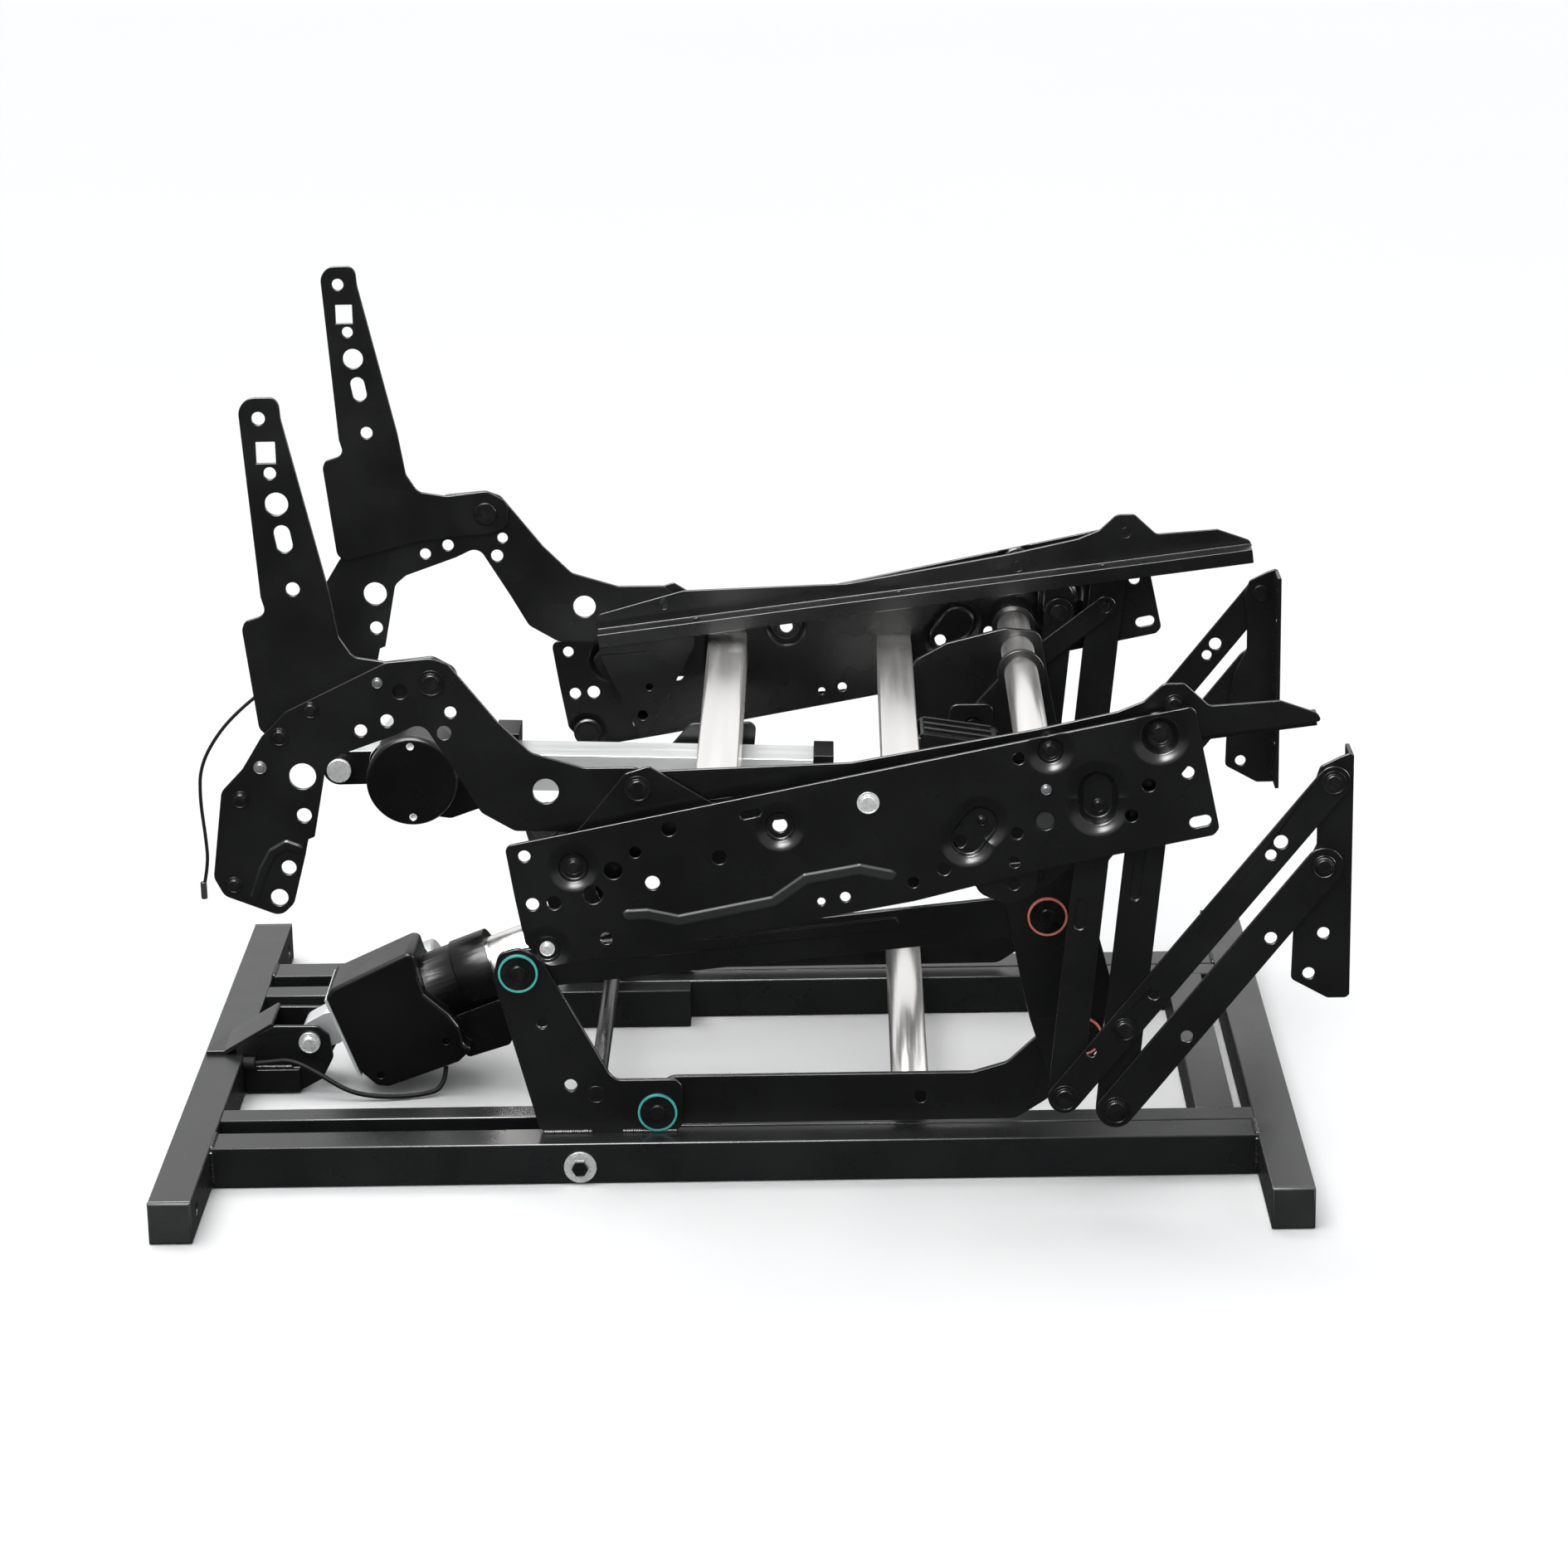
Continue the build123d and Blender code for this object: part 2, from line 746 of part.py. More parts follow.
with BuildPart() as seat_rail_left:
    add(mirror(seat_rail_solid, about=Plane.XZ))
seat_rail_left.part.label = "seat_rail_left"
export_step(seat_rail_left.part, "parts/seat_rail_left.step")

# Rear arms: curved plates that carry the back brackets
arm_face = outline(
    [
        (-322.7, 347.3),
        (-336.8, 324.7),
        (-351.8, 309.1),
        (-360.3, 248.3),
        (-353.7, 235.1),
        (-315.7, 219.9),
        (-306.4, 229.0),
        (-297.0, 263.4),
        (-294.5, 274.6, 1.0),
        (-290.1, 276.4, 1.0),
        (-280.1, 326.1),
        (-271.3, 333.6),
        (-231.4, 347.6),
        (-213.7, 356.0),
        (-189.1, 314.7),
        (-176.2, 291.6),
        (-153.9, 278.3),
        (-110.0, 277.0),
        (-58.0, 288.0),
        (-52.0, 308.0),
        (-70.0, 322.0),
        (-105.7, 322.2),
        (-141.2, 333.3),
        (-162.8, 355.2),
        (-194.7, 396.2),
        (-206.0, 400.5),
        (-236.4, 398.1),
        (-305.5, 365.0),
    ],
    9.0,
)
arm_holes = [
    ((-296.1, 319.4), 9.1),
    ((-296.4, 291.7), 5.1),
    ((-308.7, 254.7), 5.1),
    ((-316.2, 233.4), 6.0),
    ((-255.3, 350.9), 4.3),
    ((-237.3, 357.5), 4.5),
    ((-194.4, 362.7), 4.1),
    ((-199.2, 348.5), 4.8),
    ((-227.8, 377.7), 5.0),
    ((-132.1, 306.2), 8.8),
]
for at, r in arm_holes:
    arm_face -= disc(at, r)
arm_face -= disc(back_pivot, back_rivet_r)
arm_face -= disc(rear_rivet_at, rivet_r)
arm_solid = sheet(arm_face, arm_in, arm_out)
arm_ridge = [(-333.0, 233.5), (-325.5, 254.0), (-319.0, 265.5), (-309.5, 271.0), (-302.0, 268.0)]
for solid in raised_line(arm_ridge, 7.0, arm_out):
    arm_solid += solid

with BuildPart() as rear_arm_right:
    add(arm_solid)
rear_arm_right.part.label = "rear_arm_right"
export_step(rear_arm_right.part, "parts/rear_arm_right.step")

with BuildPart() as rear_arm_left:
    add(mirror(arm_solid, about=Plane.XZ))
rear_arm_left.part.label = "rear_arm_left"
export_step(rear_arm_left.part, "parts/rear_arm_left.step")

tab_face = outline(
    [
        (-127.5, 262.0),
        (-107.9, 282.7),
        (-78.2, 318.6),
        (-61.8, 323.6),
        (-21.5, 298.3),
        (-14.0, 291.0),
        (-20.0, 284.0),
        (-38.0, 284.0),
        (-40.0, 248.0),
        (-117.5, 245.0),
    ],
    4.0,
)
tab_face -= disc(tab_bush_at, rivet_r)
tab_face -= disc(rear_rivet_at, rivet_r)
lug_face = outline([(152.0, 252.0), (160.0, 233.0), (180.0, 224.5), (197.0, 231.0), (202.0, 256.0)], 12.0)
lug_face -= disc((183.6, 239.2), 4.0)

pieces = []
pieces.append(sheet(tab_face, tab_in, tab_out))
pieces.append(sheet(lug_face, lug_in, plate_in))

with BuildPart() as rail_tabs:
    add(pieces)
    mirror(about=Plane.XZ)
rail_tabs.part.label = "rail_tabs"
export_step(rail_tabs.part, "parts/rail_tabs.step")

pieces = []
gusset_face = outline(
    [under_rail(-120.5), (-120.5, 271.0), (-88.5, 200.0), (-46.0, 277.0), under_rail(-46.0)],
    3.0,
)
gusset_face -= disc((-82.2, 245.0), 3.0)
gusset_face -= disc(gusset_bush_at, rivet_r)
pieces.append(sheet(gusset_face, gusset_in, gusset_in + sheet_3))

with BuildPart() as rail_gussets:
    add(pieces)
    mirror(about=Plane.XZ)
rail_gussets.part.label = "rail_gussets"
export_step(rail_gussets.part, "parts/rail_gussets.step")

# Bushes between the side plates and the inner plates
bush_r = 7.0

pieces = []
for at, y_in, y_out in (
    (tab_bush_at, tab_out, plate_in - shallow),
    (front_bush_at, web_out, plate_in - shallow),
    (gusset_bush_at, gusset_in + sheet_3, plate_in),
):
    pieces.append(sheet(disc(at, bush_r) - disc(at, rivet_r), y_in, y_out))

with BuildPart() as frame_spacers:
    add(pieces)
    mirror(about=Plane.XZ)
frame_spacers.part.label = "frame_spacers"
export_step(frame_spacers.part, "parts/frame_spacers.step")

rivet_pieces = []
dish_floor = plate_out - shallow
leg_floor = plate_out - dish_depth
for at, y_in, y_out, head_r in (
    (tab_bush_at, tab_in, dish_floor, 6.0),
    (front_bush_at, web_in, dish_floor, 6.0),
    (rear_rivet_at, web_in, tab_out, 9.0),
    (hump_rivet_at, web_in, web_out, 7.0),
    (leg_rear_top, inner_leg_in - side_gap, leg_floor, 4.8),
    (leg_front_top, inner_leg_in - side_gap, leg_floor, 8.0),
    (back_pivot, back_in - side_gap, arm_out, 9.0),
    ((-310.4, 347.7), arm_out, arm_out, 6.2),
    ((-288.5, 366.2), arm_out, arm_out, 5.6),
    ((-339.1, 303.9), arm_out, arm_out, 5.9),
    ((-346.7, 243.4), arm_out, arm_out, 5.6),
    ((85.6, 299.8), plate_out, plate_out, 7.6),
    ((-133.9, 198.7), dish_floor, dish_floor, 5.2),
    ((161.9, 285.4), dish_floor, dish_floor, 3.4),
    ((205.2, 307.2), plate_out, plate_out, 3.6),
    ((-324.4, 326.3), arm_out, arm_out, 4.4),
    ((-242.6, 384.3), arm_out, arm_out, 3.6),
):
    shank_r = back_rivet_r if at == back_pivot else rivet_r
    if y_out > y_in:
        rivet_pieces.append(headed_pin(at, shank_r, y_in, y_out, head_r, rivet_head))
    else:
        rivet_pieces.append(headed_pin(at, 0.5 * head_r, y_out, y_out + 0.1, head_r, rivet_head))
rivet_pieces.append(tail(leg_rear_top, 7.5, inner_leg_in - side_gap, 1.8))
rivet_pieces.append(tail(leg_front_top, 8.0, inner_leg_in - side_gap, 1.8))
rivet_pieces.append(tail(back_pivot, 9.0, back_in - side_gap, 2.0))

# Push bracket under the centre tube
push_at = (
    clevis_at[0] + actuator_length * cos(radians(actuator_angle)),
    clevis_at[1] + actuator_length * sin(radians(actuator_angle)),
)
tube_b_low = tube_b_at[1] - tube_b_z / 2
bracket_half = 22.0
deck_top = 272.0
bracket_face = outline(
    [
        (tube_b_front, deck_top),
        (tube_b_front, tube_b_low),
        (push_at[0] - 12.0, tube_b_low - 3.0),
        (push_at[0] - 15.0, push_at[1]),
        (push_at[0] - 5.0, push_at[1] - 14.0),
        (push_at[0] + 12.0, push_at[1] - 10.0),
        (push_at[0] + 43.0, push_at[1] + 30.4),
        (push_at[0] + 51.0, push_at[1] + 46.4),
    ],
    4.0,
)
bracket_face -= disc(push_at, push_pin_r)
rib_lift = 3.0

pieces = []
for y in (actuator_y - bracket_half, actuator_y + bracket_half - sheet_3):
    pieces.append(extrude(across(y) * mirror(bracket_face, about=Plane.XZ), amount=sheet_3))
deck_rise = push_at[1] + 46.4 - deck_top
deck_reach = push_at[0] + 51.0 - tube_b_front
slope = degrees(atan2(deck_rise, deck_reach))
deck_run = hypot(deck_reach, deck_rise) - 4.0
deck = Location((tube_b_front + 0.3, actuator_y, deck_top), (0, -slope, 0))
pieces.append(deck * Pos(deck_run / 2 + 1.0, 0, -sheet_3 / 2) * Box(deck_run - 2, 2 * bracket_half, sheet_3))
for shift in (-14.0, 0.0, 14.0):
    pieces.append(deck * Pos(deck_run / 2, shift, rib_lift / 2) * Box(deck_run - 8, sheet_3, rib_lift))

with BuildPart() as push_bracket:
    add(pieces)
push_bracket.part.label = "push_bracket"
export_step(push_bracket.part, "parts/push_bracket.step")

bracket_near, bracket_far = actuator_y - bracket_half, actuator_y + bracket_half
push_nut_face = Pos(push_at[0], -push_at[1]) * RegularPolygon(bolt_head_r, 6)
push_pin_solid = rod_across(push_at, push_pin_r, bracket_near, bracket_far)
push_pin_solid += rod_across(push_at, bolt_head_r, bracket_near - bolt_head, bracket_near)
push_pin_solid += extrude(across(bracket_far) * push_nut_face, amount=bolt_head)

with BuildPart() as frame_rivets:
    add(rivet_pieces)
    mirror(about=Plane.XZ)
    add(push_pin_solid)
frame_rivets.part.label = "frame_rivets"
export_step(frame_rivets.part, "parts/frame_rivets.step")

# Back brackets
back_face = outline(
    [
        (-327.0, 579.3, 14.0),
        (-318.3, 443.7),
        (-315.0, 431.6),
        (-330.0, 427.0),
        (-332.0, 421.5),
        (-327.3, 380.5),
        (-323.5, 345.8),
        (-300.0, 352.0),
        (-260.0, 362.0),
        (-222.0, 366.0),
        (-206.0, 366.5),
        (-190.0, 372.0),
        (-189.0, 392.0),
        (-205.0, 401.0),
        (-236.6, 397.5),
        (-258.7, 401.3),
        (-267.5, 415.3),
        (-272.8, 448.7),
        (-298.6, 565.0),
        (-299.6, 579.3, 14.0),
    ],
    8.0,
)
back_face -= disc((-313.3, 565.3), 4.5)
back_face -= Pos(-309.6, 542.3) * Rectangle(13.0, 14.5)
back_face -= disc((-307.6, 528.2), 4.2)
back_face -= disc((-304.3, 507.3), 7.8)
back_face -= slot((-301.1, 483.4), 19.0, 11.0, 100.0)
back_face -= disc((-296.5, 448.9), 4.7)
back_face -= disc(back_pivot, back_rivet_r + running)
back_solid = sheet(back_face, back_in, back_out)

with BuildPart() as back_bracket_right:
    add(back_solid)
back_bracket_right.part.label = "back_bracket_right"
export_step(back_bracket_right.part, "parts/back_bracket_right.step")

with BuildPart() as back_bracket_left:
    add(mirror(back_solid, about=Plane.XZ))
back_bracket_left.part.label = "back_bracket_left"
export_step(back_bracket_left.part, "parts/back_bracket_left.step")


# Lift actuator, drawn along its own axis: local x runs from the clevis pin to the push pin, local y is up
def actuator_side(y):
    """Sketch plane turned to the actuator axis at real Y value y, extruding away from the camera."""
    turn = radians(actuator_angle)
    return Plane(origin=(clevis_at[0], y, clevis_at[1]), x_dir=(cos(turn), 0, sin(turn)), z_dir=(0, -1, 0))


def on_axis(s):
    """Plane square to the actuator axis at distance s from the clevis pin."""
    turn = radians(actuator_angle)
    origin = (clevis_at[0] + s * cos(turn), actuator_y, clevis_at[1] + s * sin(turn))
    return Plane(origin=origin, x_dir=(0, 1, 0), z_dir=(cos(turn), 0, sin(turn)))


plate_start, plate_end = 25.6, 28.0
housing_near, housing_far = -20.0, 50.0
housing_face = outline(
    [
        (plate_end, -31.0),
        (plate_end, 31.0),
        (34.0, 36.0),
        (103.0, 42.0),
        (98.0, 22.0),
        (97.0, 7.0),
        (108.0, -14.0),
        (111.0, -26.0),
        (109.0, -40.0),
        (114.0, -46.0),
        (100.0, -52.0),
        (44.0, -51.0),
        (36.0, -47.0),
    ],
    5.0,
)
housing_solid = extrude(actuator_side(housing_far) * housing_face, amount=housing_far - housing_near)
far_slope = Polyline((8.0, 46.0), (36.0, 14.0), (36.0, 60.0), (8.0, 60.0), close=True)
housing_solid -= extrude(on_axis(plate_end - 1) * make_face(far_slope), amount=2 * (guide_end - guide_start))
housing_edges = housing_solid.faces().sort_by(Axis.Y)[0].edges()
housing_solid = fillet(housing_edges, 3.0)
sleeve_r = 27.0
sleeve_start, sleeve_end = 90.0, 150.0
step_at = 122.0
sleeve_solid = extrude(on_axis(sleeve_start) * Circle(sleeve_r - 1.5), amount=step_at - sleeve_start)
sleeve_solid += extrude(on_axis(step_at) * Circle(sleeve_r), amount=sleeve_end - step_at)
sleeve_solid -= extrude(on_axis(sleeve_start) * Circle(guide_r), amount=sleeve_end - sleeve_start)
housing_solid -= extrude(on_axis(guide_start) * Circle(guide_r), amount=20)
lobe_face = outline([(104.0, -22.0), (146.0, -22.0), (146.0, -50.0), (138.0, -58.0), (104.0, -56.0)], 4.0)
lobe_solid = extrude(actuator_side(26) * lobe_face, amount=30)
cap_seat_solid = housing_solid + sleeve_solid + lobe_solid
cap_seat_solid -= extrude(on_axis(guide_start) * Circle(guide_r), amount=sleeve_end - guide_start + 1)
for at in ((98.0, -33.0), (42.0, -40.0)):
    cap_seat_solid -= extrude(actuator_side(housing_near + 6) * disc(at, 2.6), amount=7)

with BuildPart() as lift_housing:
    add(cap_seat_solid)
lift_housing.part.label = "lift_housing"
export_step(lift_housing.part, "parts/lift_housing.step")

lug_r = 11.5
lug_half = 12.0
lug_face_s = outline(
    [(plate_start, -13.0), (0.0, -lug_r), (-lug_r, 0.0), (0.0, lug_r), (plate_start, 15.0)],
    9.0,
)
lug_face_s -= disc((0, 0), clevis_pin_r + running)
back_face_s = outline([(plate_start, -35.0), (plate_start, 29.0), (plate_end, 31.0), (plate_end, -37.0)], 0.8)
end_solid = extrude(actuator_side(actuator_y + lug_half) * lug_face_s, amount=2 * lug_half)
end_solid += extrude(actuator_side(housing_far - 2) * back_face_s, amount=housing_far - housing_near - 4)

with BuildPart() as lift_end_plate:
    add(end_solid)
lift_end_plate.part.label = "lift_end_plate"
export_step(lift_end_plate.part, "parts/lift_end_plate.step")

# Motor can beside the housing
can_r = 22.0
can_y = 73.0
can_up = -4.0
turn = radians(actuator_angle)


def can_plane(s):
    """Plane square to the actuator axis on the motor's own centre line."""
    return Plane(
        origin=(
            clevis_at[0] + s * cos(turn) - can_up * sin(turn),
            can_y,
            clevis_at[1] + s * sin(turn) + can_up * cos(turn),
        ),
        x_dir=(0, 1, 0),
        z_dir=(cos(turn), 0, sin(turn)),
    )


can_solid = extrude(can_plane(34.0) * Circle(can_r), amount=66.0)
can_solid = fillet(can_solid.edges(), 3.0)
can_solid += extrude(can_plane(100.0) * Circle(9.0), amount=6.0)

with BuildPart() as lift_motor:
    add(can_solid)
lift_motor.part.label = "lift_motor"
export_step(lift_motor.part, "parts/lift_motor.step")

guide_solid = extrude(on_axis(guide_start) * (Circle(guide_r) - Circle(rod_r + running)),
                      amount=guide_end - guide_start)

with BuildPart() as lift_tube:
    add(guide_solid)
lift_tube.part.label = "lift_tube"
export_step(lift_tube.part, "parts/lift_tube.step")

eye_r = 14.0
eye_half = 12.0
rod_solid = extrude(on_axis(rod_start) * Circle(rod_r), amount=actuator_length - eye_r + 1 - rod_start)
eye_face = disc((actuator_length, 0), eye_r) - disc((actuator_length, 0), push_eye_hole)
rod_solid += extrude(actuator_side(actuator_y + eye_half) * eye_face, amount=2 * eye_half)

with BuildPart() as lift_rod:
    add(rod_solid)
lift_rod.part.label = "lift_rod"
export_step(lift_rod.part, "parts/lift_rod.step")

# Torque tube with its side cranks
leg_turn = atan2(knee[1] - leg_front_top[1], knee[0] - leg_front_top[0])
crank_pin_at = (torque_at[0] + crank_r * cos(leg_turn), torque_at[1] + crank_r * sin(leg_turn))
drive_pin_at = (leg_front_top[0] + crank_r * cos(leg_turn), leg_front_top[1] + crank_r * sin(leg_turn))
shoulder = plate_in - 2 * side_gap - 2.0
torque_solid = extrude(side(-shoulder) * disc(torque_at, bright_tube_r), amount=2 * shoulder)
bore_half = shoulder - 10.0
torque_solid -= extrude(side(-bore_half) * disc(torque_at, bright_tube_r - bright_wall), amount=2 * bore_half)
torque_solid += extrude(side(-stub_end) * disc(torque_at, stub_r), amount=stub_end - shoulder + 1)
torque_solid += extrude(side(shoulder - 1) * disc(torque_at, stub_r), amount=stub_end - shoulder + 1)

with BuildPart() as torque_tube:
    add(torque_solid)
torque_tube.part.label = "torque_tube"
export_step(torque_tube.part, "parts/torque_tube.step")

crank_pin_r = 4.0
push_turn = radians(push_crank_angle)
push_crank_at = (torque_at[0] + push_crank_r * cos(push_turn), torque_at[1] + push_crank_r * sin(push_turn))
push_crank_near = arm_plate_out + 1.0
crank_face = bar(torque_at, crank_pin_at, 18.0) + disc(torque_at, 17.0) - disc(torque_at, bright_tube_r)
crank_solid = sheet(crank_face, crank_in, crank_out)
crank_solid += pin(crank_pin_at, crank_pin_r, crank_out, drive_out + 0.3)
side_cranks = [crank_solid, mirror(crank_solid, about=Plane.XZ)]
push_face = bar(torque_at, push_crank_at, 20.0) + disc(torque_at, 18.0) - disc(torque_at, bright_tube_r)
push_crank_solid = sheet(push_face, -push_crank_near - 6.0, -push_crank_near)
push_crank_solid += pin(push_crank_at, push_pin_small, -push_crank_near - 6.0, -arm_plate_in + 4.0)

with BuildPart() as crank_arms:
    add(side_cranks)
    add(push_crank_solid)
crank_arms.part.label = "crank_arms"
export_step(crank_arms.part, "parts/crank_arms.step")

drive_width = 17.0
drive_face = bar(crank_pin_at, drive_pin_at, drive_width)
drive_face -= disc(crank_pin_at, crank_pin_r + running)
drive_face -= disc(drive_pin_at, crank_pin_r + open_gap)
drive_solid = sheet(drive_face, drive_in, drive_out)

with BuildPart() as drive_links:
    add(drive_solid)
    mirror(about=Plane.XZ)
drive_links.part.label = "drive_links"
export_step(drive_links.part, "parts/drive_links.step")

# Footrest links
rear_leg_width = 23.0
front_leg_width = 27.0
upper_foot_width = 22.5
lower_foot_width = 26.0

rear_leg_face = bar(leg_rear_top, rear_foot, rear_leg_width)
rear_leg_face -= disc(leg_rear_top, rivet_r + running)
rear_leg_face -= disc(rear_foot, rivet_r + open_gap)
rear_leg_solid = sheet(rear_leg_face, inner_leg_in, inner_leg_out)
rear_leg_solid -= extrude(side(inner_leg_out - 1.0) * slot((229.0, 214.5), 22.0, 7.5, 84.0), amount=2)

with BuildPart() as rear_leg_links:
    add(rear_leg_solid)
    mirror(about=Plane.XZ)
rear_leg_links.part.label = "rear_leg_links"
export_step(rear_leg_links.part, "parts/rear_leg_links.step")

front_leg_face = bar(leg_front_top, knee, front_leg_width) + bar(knee, front_foot, front_leg_width)
front_leg_face -= disc(leg_front_top, rivet_r + running)
front_leg_face -= disc(knee, rivet_r)
front_leg_face -= disc(front_foot, rivet_r)
front_leg_face -= disc(drive_pin_at, crank_pin_r)
front_leg_solid = sheet(front_leg_face, inner_leg_in, inner_leg_out)
front_leg_solid -= extrude(side(inner_leg_out - 1.2) * slot((268.0, 246.0), 44.0, 7.0, 84.0), amount=2)

with BuildPart() as front_leg_links:
    add(front_leg_solid)
    mirror(about=Plane.XZ)
front_leg_links.part.label = "front_leg_links"
export_step(front_leg_links.part, "parts/front_leg_links.step")

upper_foot_face = bar(rear_foot, board_top, upper_foot_width)
upper_foot_face -= disc(rear_foot, rivet_r)
upper_foot_face -= disc(knee, rivet_r + running)
upper_foot_face -= disc(board_top, rivet_r)
for at, r in (((236.3, 116.2), 3.6), ((278.9, 157.5), 3.9), ((357.3, 256.2), 3.9), ((363.9, 265.3), 4.9)):
    upper_foot_face -= disc(at, r)
upper_foot_solid = sheet(upper_foot_face, outer_leg_in, outer_leg_out)

with BuildPart() as upper_foot_links:
    add(upper_foot_solid)
    mirror(about=Plane.XZ)
upper_foot_links.part.label = "upper_foot_links"
export_step(upper_foot_links.part, "parts/upper_foot_links.step")

lower_foot_face = bar(front_foot, board_low, lower_foot_width)
lower_foot_face -= disc(front_foot, rivet_r + running)
lower_foot_face -= disc(board_low, rivet_r + open_gap)
for at, r in (((301.6, 126.7), 4.2), ((358.1, 196.9), 4.3)):
    lower_foot_face -= disc(at, r)
lower_foot_solid = sheet(lower_foot_face, outer_leg_in, outer_leg_out)

with BuildPart() as lower_foot_links:
    add(lower_foot_solid)
    mirror(about=Plane.XZ)
lower_foot_links.part.label = "lower_foot_links"
export_step(lower_foot_links.part, "parts/lower_foot_links.step")

board_front = 412.5
board_low_z, board_high_z = 152.0, 327.0
board_flange = 28.0
foot_face = outline(
    [
        (board_front, board_high_z),
        (404.0, 324.0),
        (390.0, 317.0),
        (386.0, 305.0),
        (388.5, 285.0),
        (388.5, 262.0),
        (378.0, 240.0),
        (374.0, 215.0),
        (372.5, 166.0),
        (397.5, board_low_z),
        (board_front, board_low_z),
    ],
    4.0,
)
foot_face -= disc(board_top, rivet_r + running)
foot_face -= disc(board_low, rivet_r)
foot_face -= disc((394.1, 198.8), 4.2)
foot_face -= disc((384.5, 170.0), 4.2)
foot_solid = sheet(foot_face, inner_leg_in, inner_leg_out)
flange_y = -(inner_leg_out + inner_leg_out - board_flange) / 2
flange_z = (board_low_z + board_high_z) / 2
foot_solid += Pos(board_front - sheet_3 / 2, flange_y, flange_z) * Box(
    sheet_3, board_flange, board_high_z - board_low_z - 4)
for z in (190.0, 290.0):
    foot_solid -= Pos(board_front, -inner_leg_out + 18, z) * Rot(0, 90, 0) * Cylinder(3.2, 10)
foot_solid += pin(board_low, rivet_r, inner_leg_in, outer_leg_out + side_gap)
foot_head_y = outer_leg_out + side_gap
foot_solid += headed_pin(board_low, rivet_r, outer_leg_out, foot_head_y, rivet_head_r, rivet_head)

with BuildPart() as foot_brackets:
    add(foot_solid)
    mirror(about=Plane.XZ)
foot_brackets.part.label = "foot_brackets"
export_step(foot_brackets.part, "parts/foot_brackets.step")

front_rivet_solids = [
    headed_pin(knee, rivet_r, inner_leg_in, outer_leg_out + side_gap, rivet_head_r, rivet_head)
    + tail(knee, 7.0, inner_leg_in, 1.6),
    headed_pin(front_foot, rivet_r, inner_leg_in, outer_leg_out + side_gap, rivet_head_r + 1.5, rivet_head)
    + tail(front_foot, 7.0, inner_leg_in, 1.6),
    pin(drive_pin_at, crank_pin_r, crank_out + 0.4, inner_leg_out),
]

with BuildPart() as front_leg_rivets:
    add(front_rivet_solids)
    mirror(about=Plane.XZ)
front_leg_rivets.part.label = "front_leg_rivets"
export_step(front_leg_rivets.part, "parts/front_leg_rivets.step")

upper_rivet_solids = [
    headed_pin(rear_foot, rivet_r, inner_leg_in - side_gap, outer_leg_out, rivet_head_r + 1.0, rivet_head)
    + tail(rear_foot, 7.0, inner_leg_in - side_gap, 1.6),
    headed_pin(board_top, rivet_r, inner_leg_in - side_gap, outer_leg_out, rivet_head_r, rivet_head)
    + tail(board_top, 7.0, inner_leg_in - side_gap, 1.6),
]

with BuildPart() as upper_foot_rivets:
    add(upper_rivet_solids)
    mirror(about=Plane.XZ)
upper_foot_rivets.part.label = "upper_foot_rivets"
export_step(upper_foot_rivets.part, "parts/upper_foot_rivets.step")

# Recline actuator: channel under the rear tube, motor and gearbox behind it
channel_run = channel_front - channel_rear
channel_wide = channel_out - channel_in
channel = Location((channel_rear, (channel_in + channel_out) / 2, channel_top), (0, channel_slope, 0))
slot_wide = 12.0
channel_middle = channel * Pos(channel_run / 2, 0, -channel_tall / 2)
channel_block = channel_middle * Box(channel_run, channel_wide, channel_tall)
channel_hollow = channel_middle * Box(channel_run, channel_wide - 5, channel_tall - 5)
channel_solid = channel_block - channel_hollow
channel_solid -= channel * Pos(channel_run / 2, 0, -channel_tall) * Box(channel_run, slot_wide + 2, 8)

with BuildPart() as recline_rail:
    add(channel_solid)
recline_rail.part.label = "recline_rail"
export_step(recline_rail.part, "parts/recline_rail.step")

block = 15.0
front_block = channel * Pos(channel_run + block / 2, 0, -channel_tall / 2 + 1.5) * Box(
    block, channel_wide + 2, channel_tall + 4)
rear_block = channel * Pos(-6.0, 0, 8.0) * Box(18.0, channel_wide, 16.0)

with BuildPart() as recline_blocks:
    add(front_block)
    add(rear_block)
recline_blocks.part.label = "recline_blocks"
export_step(recline_blocks.part, "parts/recline_blocks.step")

motor_at = (-247.5, 242.0)
motor_r = 33.5
motor_near, motor_far = -10.0, 46.0
cap_deep = 12.0
motor_solid = rod_across(motor_at, motor_r, motor_near, motor_near + cap_deep)
motor_solid = fillet(motor_solid.edges().sort_by(Axis.Y)[0], 3.0)
motor_solid += rod_across(motor_at, motor_r - 2, motor_near + cap_deep, motor_far)
for turn_at in (90, 270):
    screw_at = (motor_at[0] + 27 * cos(radians(turn_at)), motor_at[1] + 27 * sin(radians(turn_at)))
    motor_solid -= rod_across(screw_at, 2.6, motor_near, motor_near + 2.5)

with BuildPart() as recline_motor:
    add(motor_solid)
recline_motor.part.label = "recline_motor"
export_step(recline_motor.part, "parts/recline_motor.step")

